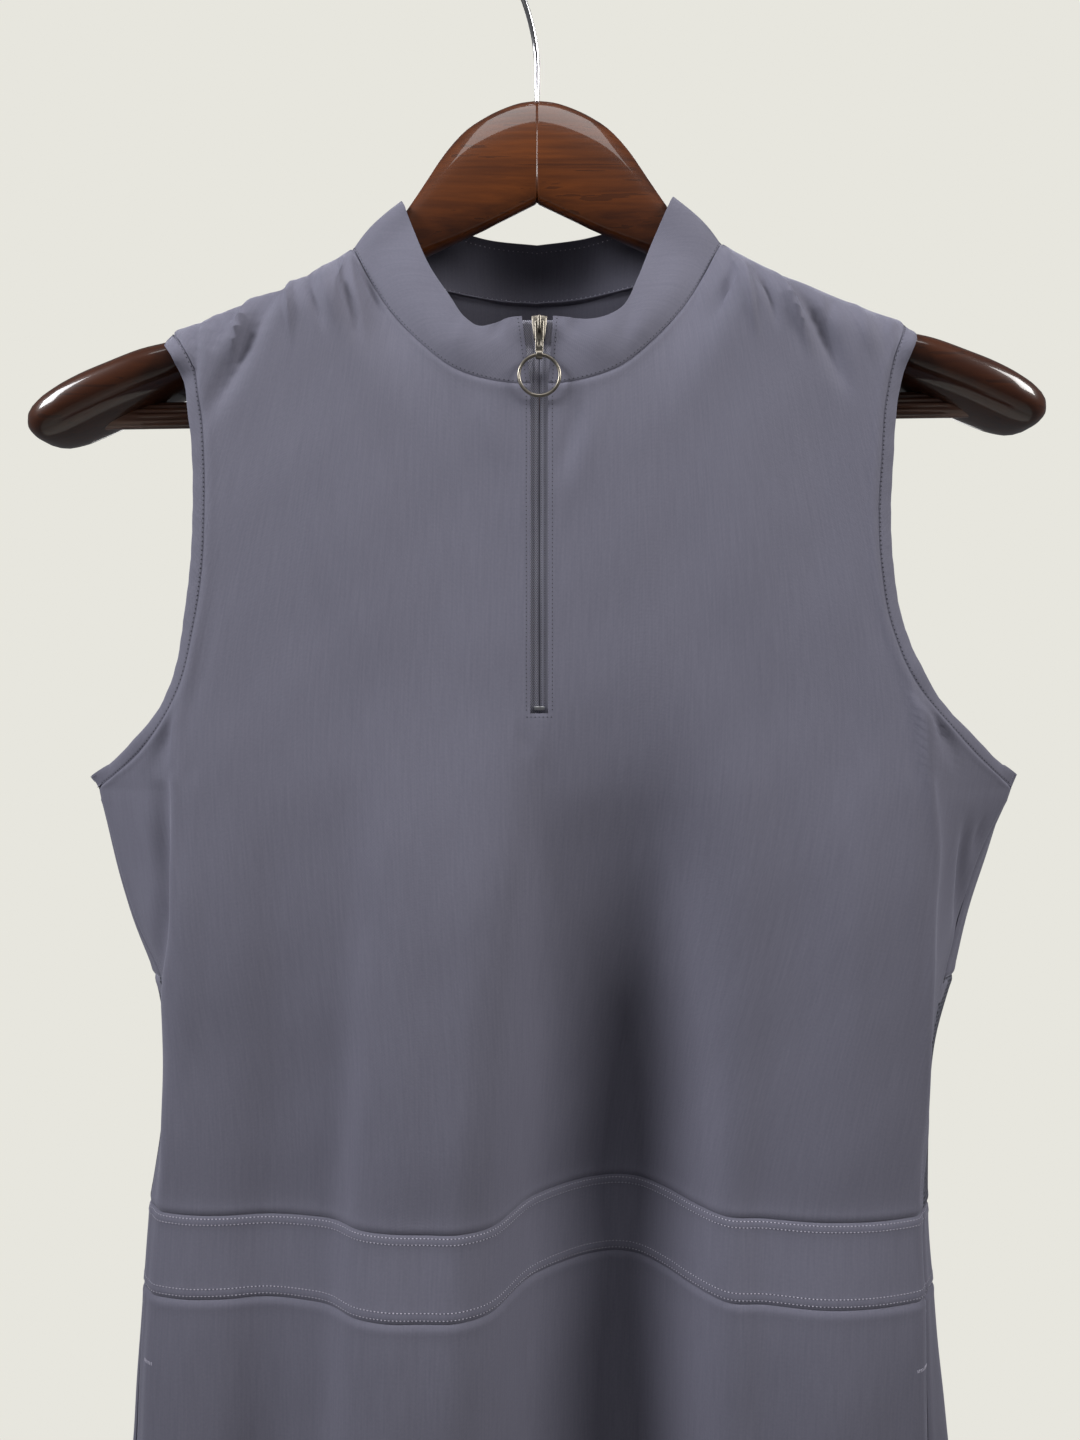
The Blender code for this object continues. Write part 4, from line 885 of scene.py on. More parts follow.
# A sheet of cloth from a panel: one layer of faces, then its wall and softly rounded edges
def sewPanel(name, panel, wall, material, node, slot, keep=None, closed=False, rounding=0.35):
    grid = panel["grid"]
    rows, cols = grid.shape[:2]
    loop = cols - 1 if closed else cols
    points = [tuple(grid[j, i] * mm) for j in range(rows) for i in range(loop)]
    faces, flat = [], []
    for j in range(rows - 1):
        for i in range(cols - 1):
            if keep is not None and not keep[j, i]:
                continue
            corners = ((j, i), (j + 1, i), (j + 1, i + 1), (j, i + 1))
            faces.append([r * loop + (c % loop) for r, c in corners])
            flat += [((panel["across"][c] - panel["across"][c[0], cols // 2]) * mm, panel["down"][c] * mm)
                     for c in corners]
    mesh = bpy.data.meshes.new(name)
    mesh.from_pydata(points, [], faces)
    layer = mesh.uv_layers.new(name="cut")
    layer.data.foreach_set("uv", [v for pair in flat for v in pair])
    obj = bpy.data.objects.new(name, mesh)
    bpy.context.scene.collection.objects.link(obj)
    onlyThis(obj)
    bpy.ops.object.mode_set(mode="EDIT")
    bpy.ops.mesh.select_all(action="SELECT")
    bpy.ops.mesh.delete_loose()
    bpy.ops.object.mode_set(mode="OBJECT")
    wallStep = obj.modifiers.new("wall", "SOLIDIFY")
    wallStep.thickness, wallStep.offset = wall * mm, -1
    bpy.ops.object.modifier_apply(modifier="wall")
    if rounding:
        edge = obj.modifiers.new("edge", "BEVEL")
        edge.width, edge.segments = rounding * mm, 2
        edge.limit_method, edge.angle_limit = "ANGLE", math.radians(62)
        bpy.ops.object.modifier_apply(modifier="edge")
    bpy.ops.object.shade_smooth_by_angle(angle=math.radians(70))
    return endPiece(obj, material, node, slot)


# The collar's rows, from its upper edge (1) to its seam (0), and its allowance inside the bodice in mm
collarCut = {
    "rises": (1.0, 0.99, 0.975, 0.95, 0.9, 0.82, 0.73, 0.64, 0.55, 0.46, 0.37, 0.28, 0.2, 0.13, 0.08,
              0.045, 0.02, 0),
    "tuckedIn": 1.2, "tuckedDown": 1.6, "step": 1 / 5, "zipSide": (0.05,), "uneven": 0.6,
}


# The collar, from the zip's right edge round the neck to its left edge
def makeCollarPanel():
    halfFront = cut["frontSlit"] - cut["frontNeck"]
    halfBack = (cut["backNeckEnd"] - cut["backNeck"]) // 2
    steps = spread(range(halfFront + 1), collarCut["step"], collarCut["zipSide"])
    backSteps = spread((0, halfBack), collarCut["step"])
    base = [(frontTop(cut["frontSlit"] + 1 + s), s / halfFront, "right") for s in steps]
    base += [(backTop(cut["backNeck"] + s), 1 + s / halfBack, "right") for s in backSteps[1:]]
    base += [(backTop(cut["backNeckEnd"] - s), 1 + s / halfBack, "left") for s in backSteps[-2::-1]]
    base += [(frontTop(cut["frontSlit"] - s), s / halfFront, "left") for s in steps[-2::-1]]
    grid = []
    for rise in collarCut["rises"]:
        row = []
        for foot, share, side in base:
            top = np.array([read(collarTop, side + "X", share), read(collarTop, "y", share),
                            read(collarTop, side + "Z", share)])
            out = unit(np.array([foot[0], foot[1] * 2, 0.0]) + 1e-6)
            bulge = mix(cut["zipEdgeBulge"], cut["collarBulge"], min(share / 0.3, 1.0))
            row.append(mix(foot, top, rise) + out * bulge * math.sin(math.pi * rise))
        grid.append(row)
    tucked = []
    for foot, _, _ in base:  # the seam allowance, inside the bodice
        out = unit(np.array([foot[0], foot[1] * 2, 0.0]) + 1e-6)
        tucked.append(foot - out * collarCut["tuckedIn"] - np.array([0.0, 0.0, collarCut["tuckedDown"]]))
    grid.append(tucked)
    grid = np.array([[lean(p) for p in row] for row in grid])
    return dressed(grid, "collar", (), collarCut["uneven"])


# Shares of the band's width, and how it turns near the armpit: reaches are counts of columns from there
bandCut = {
    "shares": (0, 0.06, 0.14, 0.3, 0.5, 0.7, 0.86, 0.95, 1.0),
    "plainTo": 30, "plainFade": 9, "upFront": 6, "upBack": 9, "tipReach": 11, "tipFront": -0.14,
    "tipBack": 0.22, "narrower": 0.35, "narrowTo": 22, "pucker": 0.28, "rolled": 0.8, "step": 0.5,
}


# An armhole's band, a ring from the stitched line out to the free edge
def makeBandPanel(side):
    frontIn, backIn = ((0, 1), (-1, -2)) if side < 0 else ((-1, -2), (0, 1))
    f, fi = (frontPanel["grid"][:armpitRow, column] for column in frontIn)
    b, bi = (backPanel["grid"][:armpitRow, column] for column in backIn)
    stitches = list(f) + list(b[-2:0:-1])
    inside = list(fi) + list(bi[-2:0:-1])
    count, armpit = len(stitches), len(f) - 1
    outs = []
    for i, (s, n) in enumerate(zip(stitches, inside)):
        along = unit(stitches[(i + 1) % count] - stitches[i - 1])
        out = unit(s - n)
        if i == 0:
            out = unit(ridgePoint(0, side) - ridgePoint(0.1, side))
        past = i - armpit
        if past > 0:  # the back half, square to its line: the panel's own columns run together here
            plain = np.array([side * abs(along[2]), -0.35 * min(past / 20, 1), abs(along[0])])
            out = mix(out, plain, min(max((bandCut["plainTo"] - past) / bandCut["plainFade"], 0.0), 1.0))
        away = abs(past) / bandCut["upFront" if past <= 0 else "upBack"]
        out = mix(out, np.array([side * 0.25, 0.0, 1.0]), max(0.0, 1 - away) ** 1.2)
        out = unit(out - along * np.dot(out, along))
        # at the tip the front half stays in front of the back half
        apart = bandCut["tipFront" if past < 0 else "tipBack"] * min(abs(past) / 3, 1)
        out[1] = mix(out[1], apart, max(0.0, 1 - abs(past) / bandCut["tipReach"]))
        outs.append(unit(out))
    outs = np.array(outs)
    for _ in range(3):
        outs = 0.5 * outs + 0.25 * (np.roll(outs, 1, 0) + np.roll(outs, -1, 0))
    outs /= np.linalg.norm(outs, axis=1)[:, None]
    # near the armpit the back half is narrower and stays behind the front one
    near = [min(max((i - armpit) / bandCut["narrowTo"], 0.0), 1.0) for i in range(count)]
    wide = [cut["bandWidth"] * (1 - bandCut["narrower"] * math.sin(math.pi * share)) for share in near]
    shares = bandCut["shares"]
    grid = [[s + o * w * share for s, o, w in zip(stitches, outs, wide)] for share in shares]
    grid = np.array([row + row[:1] for row in grid])
    if side > 0:
        grid = grid[::-1]
    normals = normalsOf(grid)
    shareOf = np.array(shares if side < 0 else shares[::-1])[:, None]
    length = arcs(grid, 1)
    ripple = np.sin(length / 1.9 + 2.2 * np.sin(length / 23))
    pucker = bandCut["pucker"] * ripple * shareOf * (1 - 0.4 * shareOf)
    rolled = bandCut["rolled"] * np.clip((shareOf - 0.7) / 0.3, 0, 1) ** 2
    step = bandCut["step"] * np.exp(-((shareOf * cut["bandWidth"] / 0.8) ** 2))
    atTip = np.clip(np.abs(np.arange(grid.shape[1]) - armpit) / bandCut["upFront"], 0, 1)
    grid = grid - normals * ((pucker + rolled + step) * atTip)[..., None]
    grid[:, -1] = grid[:, 0]
    return {"grid": grid, "normals": normalsOf(grid), "across": length, "down": arcs(grid, 0)}


print("shaping the front")
frontShares = spread(upperRows, fine["upperRow"], closeShares)
armpitRow = len(frontShares)
bodiceLevels = spread(chestRows + meshRows[1:], fine["row"], closeLines)
frontPanel = makePanel("front", frontShares[:-1], bodiceLevels)
print("shaping the back")
backPanel = makePanel("back", frontShares[:-1], spread(chestRows, fine["row"], closeLines))
meshPanel = makePanel("back", (), spread(meshRows, fine["row"], closeLines))
bandLevels = spread(bandRows, fine["bandRow"], closeLines)
waistFront, waistBack = makePanel("front", (), bandLevels), makePanel("back", (), bandLevels)
skirtLevels, skirtSeams = spread(skirtRows, fine["skirtRow"], closeLines), ("top", "first", "last")
skirtFrontPanel = makePanel("front", (), skirtLevels, skirtSeams)
skirtBackPanel = makePanel("back", (), skirtLevels, skirtSeams)
collarPanel = makeCollarPanel()
bandLeft, bandRight = makeBandPanel(-1), makeBandPanel(1)
print("panels shaped")

# the zip's opening in the front
slitColumn = frontColumns.index(float(cut["frontSlit"]))
slitEnd = frontColumns.index(float(cut["frontSlit"] + 1))
slitRow = min(range(len(frontShares)), key=lambda n: abs(frontShares[n] - slitShare))
frontKeep = np.ones((frontPanel["grid"].shape[0] - 1, frontPanel["grid"].shape[1] - 1), bool)
frontKeep[:slitRow, slitColumn:slitEnd] = False


def sewKnit(name, panel, node, wall=cut["wall"], **how):
    return sewPanel(name, panel, wall, knitCloth, node, "slate_knit", **how)


frontBodice = sewKnit("frontBodice", frontPanel, "front_bodice", keep=frontKeep)
backBodice = sewKnit("backBodice", backPanel, "back_bodice")
backMesh = sewPanel("backMeshInsert", meshPanel, cut["wall"], meshCloth, "back_mesh_panel", "patterned_mesh")
waistbandFront = sewKnit("waistbandFront", waistFront, "waistband_front")
waistbandBack = sewKnit("waistbandBack", waistBack, "waistband_back")
skirtFront = sewKnit("skirtFront", skirtFrontPanel, "skirt_front")
skirtBack = sewKnit("skirtBack", skirtBackPanel, "skirt_back")
collar = sewKnit("standCollar", collarPanel, "collar", cut["collarWall"], rounding=0.8)
armholeBandLeft = sewKnit("armholeBandLeft", bandLeft, "armhole_band_left", cut["bandWall"], closed=True)
armholeBandRight = sewKnit("armholeBandRight", bandRight, "armhole_band_right", cut["bandWall"], closed=True)
print("dress sewn")


# Pocket bags lie flat behind the skirt's front
pocketBag = {"columns": (0.4, 10.0), "top": -636.0, "bottom": -800.0, "setback": 2.5, "wall": 1.8,
             "across": 35, "down": 30, "uneven": 0.4}


def makePocketBag(name, node, mirrored):
    first, last = pocketBag["columns"]
    steps = pocketBag["across"] - 1
    ks = [first + (last - first) * n / steps for n in range(steps + 1)]
    if mirrored:
        ks = [cut["frontLast"] - k for k in ks[::-1]]
    zs = np.linspace(pocketBag["top"], pocketBag["bottom"], pocketBag["down"])
    grid = np.array([[frontSection(k, z) for k in ks] for z in zs])
    grid = rounded(grid, sides["front"]["folds"], ks, foldReach, sides["back"]["passes"])
    grid = grid - normalsOf(grid) * pocketBag["setback"]
    panel = dressed(grid, None, (), pocketBag["uneven"])
    obj = sewKnit(name, panel, node, pocketBag["wall"])


makePocketBag("pocketBagLeft", "pocket_bag_left", False)
makePocketBag("pocketBagRight", "pocket_bag_right", True)


# Stitching: small threads laid on the cloth, one mesh for each run

stitch = {"pitch": 1.6, "length": 0.95, "width": 0.58, "height": 0.26, "sunk": 0.06}

# each run's distance from the edge that it follows
rowAt = {"waistTop": (1.2, 3.7), "waistFoot": (1.7, 4.6), "hem": (18.0, 20.6), "zip": 1.7, "zipFoot": 1.5,
         "collar": 2.6, "innerTop": 3.2, "innerFoot": 1.6, "armhole": 1.0, "tape": (1.15, 2.6)}
rowPitch = {"zip": 1.7, "collar": 1.9, "inner": 2.2, "armhole": 1.9, "tack": 0.9, "tape": 1.0}


# The line on a panel at a distance from one of its edges
def edgeLine(panel, edge, distance, start=0, stop=None):
    grid, normals = panel["grid"], panel["normals"]
    if edge in ("first", "last"):
        grid, normals = grid.transpose(1, 0, 2), normals.transpose(1, 0, 2)
        along = panel["across"].T
    else:
        along = panel["down"]
    if edge in ("bottom", "last"):
        grid, normals, along = grid[::-1], normals[::-1], (along[-1] - along)[::-1]
    points, outs = [], []
    for i in range(grid.shape[1])[start:stop]:
        place = [float(np.interp(distance, along[:, i], grid[:, i, n])) for n in range(3)]
        points.append(place)
        outs.append([float(np.interp(distance, along[:, i], normals[:, i, n])) for n in range(3)])
    return np.array(points), np.array(outs)


# Places at equal steps on a line, with the way it runs there
def stepped(points, outs, pitch, shift=0.0):
    length = np.concatenate([[0], np.cumsum(np.linalg.norm(np.diff(points, axis=0), axis=1))])
    at = np.arange((0.6 + shift) * pitch, length[-1] - 0.4 * pitch, pitch)
    places = np.stack([np.interp(at, length, points[:, n]) for n in range(3)], 1)
    ahead = np.stack([np.interp(at + 0.1, length, points[:, n]) for n in range(3)], 1)
    normals = np.stack([np.interp(at, length, outs[:, n]) for n in range(3)], 1)
    ways = ahead - places
    ways /= np.maximum(np.linalg.norm(ways, axis=1)[:, None], 1e-9)
    return places, ways, normals / np.linalg.norm(normals, axis=1)[:, None]


# Every stitch is a grain of thread with a ring of six points between its two ends
def sewRuns(name, runs, material, pitch=None, slot="slate_knit", size=1.0, shift=0.0):
    pitch = pitch or stitch["pitch"]
    reach = 0.5 * size * min(stitch["length"], 0.8 * pitch)
    points, faces = [], []
    for line, outs in runs:
        for place, way, out in zip(*stepped(line, outs, pitch, shift)):
            across = np.cross(out, way)
            start = len(points)
            centre = place - out * stitch["sunk"]
            points.append(centre - way * reach)
            for n in range(6):
                turn = math.pi * n / 3
                points.append(centre + across * 0.5 * size * stitch["width"] * math.cos(turn)
                              + out * stitch["height"] * math.sin(turn))
            points.append(centre + way * reach)
            for n in range(6):
                a, b = start + 1 + n, start + 1 + (n + 1) % 6
                faces += [(start, b, a), (start + 7, a, b)]
    mesh = bpy.data.meshes.new(name)
    mesh.from_pydata([tuple(p * mm) for p in np.array(points)], [], faces)
    obj = bpy.data.objects.new(name, mesh)
    bpy.context.scene.collection.objects.link(obj)
    onlyThis(obj)
    facedOut()
    bpy.ops.object.shade_smooth()
    return endPiece(obj, material, None, slot)


def flipped(line):
    return line[0] - line[1] * cut["collarWall"], -line[1]


def edgeLines(panel, edge, distances):
    return [edgeLine(panel, edge, distance) for distance in distances]


seamRuns = {
    "waistFrontStitches": edgeLines(waistFront, "top", rowAt["waistTop"])
    + edgeLines(waistFront, "bottom", rowAt["waistFoot"]),
    "waistBackStitches": edgeLines(waistBack, "top", rowAt["waistTop"])
    + edgeLines(waistBack, "bottom", rowAt["waistFoot"]),
    "hemFrontStitches": edgeLines(skirtFrontPanel, "bottom", rowAt["hem"]),
    "hemBackStitches": edgeLines(skirtBackPanel, "bottom", rowAt["hem"]),
}
stitches = {name: sewRuns(name, runs, lightThread) for name, runs in seamRuns.items()}
# between the light stitches, dark grains of a smaller size: painted shade in the needle holes
for name in ("waistFrontStitches", "waistBackStitches"):
    needleHoleShade = name.replace("Stitches", "Holes")
    stitches[needleHoleShade] = sewRuns(needleHoleShade, seamRuns[name], darkThreadAndHoleShade, size=0.72, shift=0.5)


# Some rows and columns of a panel, measured again from their own first ones
def partOf(panel, rows, columns):
    part = {key: values[rows, columns] for key, values in panel.items()}
    part["across"] = part["across"] - part["across"][:, :1]
    part["down"] = part["down"] - part["down"][:1]
    return part


# beside the zip: on the front, up the collar, and across below the zip's end stop
leftOfZip = partOf(frontPanel, slice(slitRow + 1), slice(slitColumn + 1))
rightOfZip = partOf(frontPanel, slice(slitRow + 1), slice(slitEnd, None))
underZip = partOf(frontPanel, slice(slitRow, None), slice(slitColumn - 1, slitEnd + 2))
zipRuns = [edgeLine(leftOfZip, "last", rowAt["zip"]), edgeLine(rightOfZip, "first", rowAt["zip"]),
           edgeLine(collarPanel, "first", rowAt["zip"]), edgeLine(collarPanel, "last", rowAt["zip"]),
           edgeLine(underZip, "top", rowAt["zipFoot"])]
stitches["zipStitches"] = sewRuns("zipStitches", zipRuns, darkThreadAndHoleShade, rowPitch["zip"])
collarRuns = [edgeLine(collarPanel, "bottom", rowAt["collar"])]
stitches["collarStitches"] = sewRuns("collarStitches", collarRuns, darkThreadAndHoleShade, rowPitch["collar"])
third = collarPanel["grid"].shape[1] // 3
innerRuns = [flipped(edgeLine(collarPanel, "top", rowAt["innerTop"], third, -third)),
             flipped(edgeLine(collarPanel, "bottom", rowAt["innerFoot"], third, -third))]
stitches["innerCollarStitches"] = sewRuns("innerCollarStitches", innerRuns, lightThread, rowPitch["inner"])
armholeRuns = {"armholeStitchesLeft": edgeLine(bandLeft, "top", rowAt["armhole"]),
               "armholeStitchesRight": edgeLine(bandRight, "bottom", rowAt["armhole"])}
for name, run in armholeRuns.items():
    stitches[name] = sewRuns(name, [run], darkThreadAndHoleShade, rowPitch["armhole"])


# Bar tacks close the pockets' upper ends: x from and to, and z; each is three rows, close together
barTacks = ((-169.0, -163.6, -630.5), (160.3, 166.3, -634.3))
tackRows = (-0.45, 0.0, 0.45)


def tackRun(x0, x1, z):
    points, outs = [], []
    grid, normals = skirtFrontPanel["grid"], skirtFrontPanel["normals"]
    row = int(np.argmin(np.abs(grid[:, grid.shape[1] // 2, 2] - z)))
    order = np.argsort(grid[row, :, 0])
    xs = grid[row, order, 0]
    for x in np.linspace(x0, x1, 16):
        points.append([np.interp(x, xs, grid[row, order, n]) for n in range(3)])
        outs.append([np.interp(x, xs, normals[row, order, n]) for n in range(3)])
    return np.array(points), np.array(outs)


tackRuns = []
for x0, x1, z in barTacks:
    line, outs = tackRun(x0, x1, z)
    tackRuns += [(line + np.array([0, 0, lift]), outs) for lift in tackRows]
stitches["pocketTacks"] = sewRuns("pocketTacks", tackRuns, lightThread, rowPitch["tack"])


print("stitching laid")


# The hanger's wood: half of it as stations from its middle to the end of an arm

woodTable = {"columns": ("x", "top", "bottom", "front", "back"),
    "rows": (
        (0, -82.0, -127.0, -7.5, 7.5),
        (8, -83.0, -130.9, -7.5, 7.5),
        (16, -85.7, -134.8, -7.5, 7.5),
        (24, -89.6, -138.6, -7.5, 7.5),
        (32, -95.0, -142.2, -7.5, 7.5),
        (41, -105.0, -146.2, -7.6, 7.6),
        (50, -118.6, -150.3, -7.9, 7.8),
        (58, -130.5, -154.5, -7.9, 7.8),
        (68, -144.0, -160.0, -7.9, 7.8),
        (80, -154.5, -167.0, -8.2, 8.0),
        (94, -163.0, -175.0, -10.4, 9.4),
        (108, -169.6, -183.0, -13.4, 11.4),
        (124, -176.6, -192.0, -16.8, 13.8),
        (140, -183.4, -201.0, -19.8, 16.4),
        (156, -189.6, -209.6, -22.4, 18.8),
        (170, -193.6, -215.6, -25.0, 20.2),
        (184, -199.0, -221.4, -25.6, 20.8),
        (197, -204.2, -227.2, -25.2, 20.4),
        (207, -209.2, -231.2, -23.8, 19.0),
        (215, -214.2, -232.4, -20.6, 15.8),
        (220, -218.2, -230.4, -15.6, 10.8),
        (223.5, -222.0, -227.0, -8.0, 3.4),)}

hangerWood = {"corners": 48, "squareness": 2.5, "step": 3.2, "end": 223.5, "glueLine": 0.22}


def woodSection(x):
    away = min(abs(x), hangerWood["end"])
    top, foot = read(woodTable, "top", away), read(woodTable, "bottom", away)
    front, back = read(woodTable, "front", away), read(woodTable, "back", away)
    middle = np.array([x, 0.5 * (front + back), 0.5 * (top + foot) + cut["lean"] * x])
    return middle, 0.5 * (back - front), 0.5 * (top - foot)


# A flat polygon across X, ready to be drawn out into a bar
def startBar(name, corners, radius):
    bpy.ops.object.select_all(action="DESELECT")
    bpy.ops.mesh.primitive_circle_add(vertices=corners, radius=radius * mm, fill_type="NGON",
                                      location=(0, 0, 0), rotation=(0, math.radians(90), 0))
    obj = bpy.context.active_object
    obj.name = name
    bpy.ops.object.transform_apply(location=True, rotation=True, scale=True)
    return obj


def makeHangerWood():
    halfKnots = [-hangerWood["end"], -220, -215, -207, -197, -170, -124, -80, -40, -1.2]
    stations = spread(halfKnots, hangerWood["step"])
    stations += [-0.45, 0.0, 0.45] + [-x for x in stations[::-1]]
    start, wide, tall = woodSection(stations[0])
    obj = startBar("hangerWood", hangerWood["corners"], 1.0)
    power = 2 / hangerWood["squareness"]
    for v in obj.data.vertices:  # a round section made squarer
        c, d = v.co.y / mm, v.co.z / mm
        v.co.y = mm * math.copysign(abs(c) ** power, c)
        v.co.z = mm * math.copysign(abs(d) ** power, d)
    bpy.ops.object.mode_set(mode="EDIT")
    bpy.ops.mesh.select_all(action="SELECT")
    bpy.ops.transform.resize(value=(1, wide, tall), center_override=(0, 0, 0))
    bpy.ops.transform.translate(value=tuple(start * mm))
    at, size = start, (wide, tall)
    for x in stations[1:]:
        middle, wide, tall = woodSection(x)
        pinch = 1 - hangerWood["glueLine"] / wide if x == 0.0 else 1.0
        bpy.ops.mesh.extrude_region_move(TRANSFORM_OT_translate={"value": tuple((middle - at) * mm)})
        bpy.ops.transform.resize(value=(1, wide * pinch / size[0], tall * pinch / size[1]),
                                 center_override=tuple(middle * mm))
        at, size = middle, (wide * pinch, tall * pinch)
    facedOut()
    bpy.ops.object.shade_smooth_by_angle(angle=math.radians(50))
    return endPiece(obj, walnut, "hanger_wood", "walnut")


# The trouser bar: grooved along its middle, plain and round at both ends
hangerBar = {"radius": 5.75, "z": -219.5, "half": 202.6, "grooves": 14, "deep": 0.75,
             "from": -174.0, "to": 180.0, "runOut": 3, "endStep": 9, "grooveStep": 18}


def makeHangerBar():
    bar = hangerBar
    obj = startBar("hangerBar", bar["grooves"] * 6, bar["radius"])
    leftKnots = [-bar["half"], bar["from"] - bar["runOut"], bar["from"]]
    rightKnots = [bar["to"], bar["to"] + bar["runOut"], bar["half"]]
    stations = spread(leftKnots, bar["endStep"]) + spread(rightKnots, bar["endStep"])
    stations = sorted(set(stations + spread([bar["from"], bar["to"]], bar["grooveStep"])))
    bpy.ops.object.mode_set(mode="EDIT")
    bpy.ops.mesh.select_all(action="SELECT")
    bpy.ops.transform.translate(value=(stations[0] * mm, 0, (bar["z"] + cut["lean"] * stations[0]) * mm))
    for a, b in zip(stations[:-1], stations[1:]):
        bpy.ops.mesh.extrude_region_move(
            TRANSFORM_OT_translate={"value": ((b - a) * mm, 0, cut["lean"] * (b - a) * mm)})
    facedOut()
    for v in obj.data.vertices:  # the grooves, run out softly before the ends
        x = v.co.x / mm
        if bar["from"] - 0.1 <= x <= bar["to"] + 0.1:
            turn = math.atan2(v.co.z / mm - bar["z"] - cut["lean"] * x, v.co.y / mm)
            depth = bar["deep"] * max(0.0, math.cos(bar["grooves"] * turn)) ** 0.7
            v.co.y -= math.cos(turn) * depth * mm
            v.co.z -= math.sin(turn) * depth * mm
    bpy.ops.object.shade_smooth_by_angle(angle=math.radians(35))
    return endPiece(obj, barWalnut, "hanger_bar", "walnut_bar")


# The wire hook: straight up out of the wood, out to one side and over in its crook
hangerHook = {"wire": 1.3, "crook": 22.7, "turn": math.radians(57), "neckTop": -67.0, "neckFoot": -81.6}


def hookPath():
    hook = hangerHook
    middle = hook["wire"] - hook["crook"]
    rise = middle - hook["neckTop"]
    bend = (rise**2 - hook["crook"] ** 2) / (2 * hook["crook"])
    swing = math.atan2(rise, bend)
    flat = [(0.0, hook["neckFoot"]), (0.0, 0.5 * (hook["neckFoot"] + hook["neckTop"]))]
    for a in np.linspace(0, swing, 20):
        flat.append((-bend * (1 - math.cos(a)), hook["neckTop"] + bend * math.sin(a)))
    for a in np.linspace(math.pi + swing, 0, 60)[1:]:
        flat.append((hook["crook"] * math.cos(a), middle + hook["crook"] * math.sin(a)))
    return [(s * math.cos(hook["turn"]), s * math.sin(hook["turn"]), z) for s, z in flat]


# A wire along a path: a curve with a round section, made a mesh, its ends narrowed and capped
def makeWire(name, path, radius, material, node, slot, rider=carrier, closed=False):
    curve = bpy.data.curves.new(name, "CURVE")
    curve.dimensions, curve.bevel_depth, curve.bevel_resolution = "3D", radius * mm, 6
    curve.use_fill_caps = not closed
    line = curve.splines.new("POLY")
    line.points.add(len(path) - 1)
    for n, p in enumerate(path):
        line.points[n].co = (p[0] * mm, p[1] * mm, p[2] * mm, 1)
        if not closed and n in (0, len(path) - 1):
            line.points[n].radius = 0.75
    line.use_cyclic_u = closed
    obj = bpy.data.objects.new(name, curve)
    bpy.context.scene.collection.objects.link(obj)
    onlyThis(obj)
    bpy.ops.object.convert(target="MESH")
    obj = bpy.context.active_object
    bpy.ops.object.mode_set(mode="EDIT")
    bpy.ops.mesh.select_all(action="SELECT")
    bpy.ops.mesh.remove_doubles(threshold=0.00001)
    facedOut()
    bpy.ops.object.shade_smooth_by_angle(angle=math.radians(50))
    return endPiece(obj, material, node, slot, rider)


makeHangerWood()
makeHangerBar()
makeWire("hangerHook", hookPath(), hangerHook["wire"], chromeWire, "hanger_hook", "chrome_wire")
print("hanger made")


# The zip: two woven tapes with the coil's edge rolled under, a slider, its link and ring

zipSizes = {"top": -189.1, "foot": -358.0, "setback": 2.5, "middle": 1.05,
            "linkY": -33.8, "linkZ": -192.2, "ringZ": -206.0, "ring": 8.5, "ringWire": 0.72,
            "sliderTop": -188.6, "sliderHigh": 9.6, "sliderWide": 6.6, "sliderDeep": 3.2, "stopZ": -352.8,
            "eye": 1.85, "eyeWide": 2.8, "hole": 1.2, "groove": math.radians(205)}


def zipY(z):
    foot, top = neckFront["rows"][0][3], collarTop["rows"][0][4]
    if z < foot:
        return frontSurfaceY(zipSizes["middle"], z)
    rise = min((z - foot) / (top - foot), 1.0)
    return (mix(neckFront["rows"][0][2], collarTop["rows"][0][3], rise)
            - cut["zipEdgeBulge"] * math.sin(math.pi * rise))


# A tape's section: from the zip's middle outward, and how far it lies back there
tapeCut = {"across": (0.10, 0.35, 0.8, 1.4, 2.0, 2.6, 3.2, 4.2, 5.6, 7.2, 9.0),
           "back": (0.75, 0.30, 0.02, -0.10, 0.02, 0.22, 0.32, 0.36, 0.38, 0.38, 0.38),
           "step": 1.5, "wall": 0.9, "thread": 0.62}


def makeTape(name, node, side):
    across, back = tapeCut["across"], tapeCut["back"]
    if side < 0:
        across, back = [-a for a in across[::-1]], back[::-1]
    zs = spread((zipSizes["top"], zipSizes["foot"]), tapeCut["step"])
    grid = np.array([[(zipSizes["middle"] + a, zipY(z) + zipSizes["setback"] + deep, z)
                      for a, deep in zip(across, back)] for z in zs])
    panel = {"grid": grid, "normals": normalsOf(grid), "across": arcs(grid, 1), "down": arcs(grid, 0)}
    obj = sewPanel(name, panel, tapeCut["wall"], tapeCloth, node, "zip_tape", rounding=0)
    lines = edgeLines(panel, "first" if side > 0 else "last", rowAt["tape"])
    rows = sewRuns(name + "Stitches", lines, darkThreadAndHoleShade, rowPitch["tape"], "zip_tape", tapeCut["thread"])


makeTape("zipTapeLeft", "zip_tape_left", -1)
makeTape("zipTapeRight", "zip_tape_right", 1)


def bevelled(obj, width, sharpest=30):
    step = obj.modifiers.new("edge", "BEVEL")
    step.width, step.segments, step.angle_limit = width * mm, 3, math.radians(sharpest)
    bpy.ops.object.modifier_apply(modifier="edge")
    return obj


def addBlock(name, centre, size, bevel=0.0):
    place = tuple(c * mm for c in centre)
    bpy.ops.object.select_all(action="DESELECT")
    bpy.ops.mesh.primitive_cube_add(size=1, location=place)
    obj = bpy.context.active_object
    obj.name = name
    bpy.ops.transform.resize(value=tuple(s * mm for s in size), center_override=place)
    bpy.ops.object.transform_apply(location=True, rotation=True, scale=True)
    return bevelled(obj, bevel) if bevel else obj


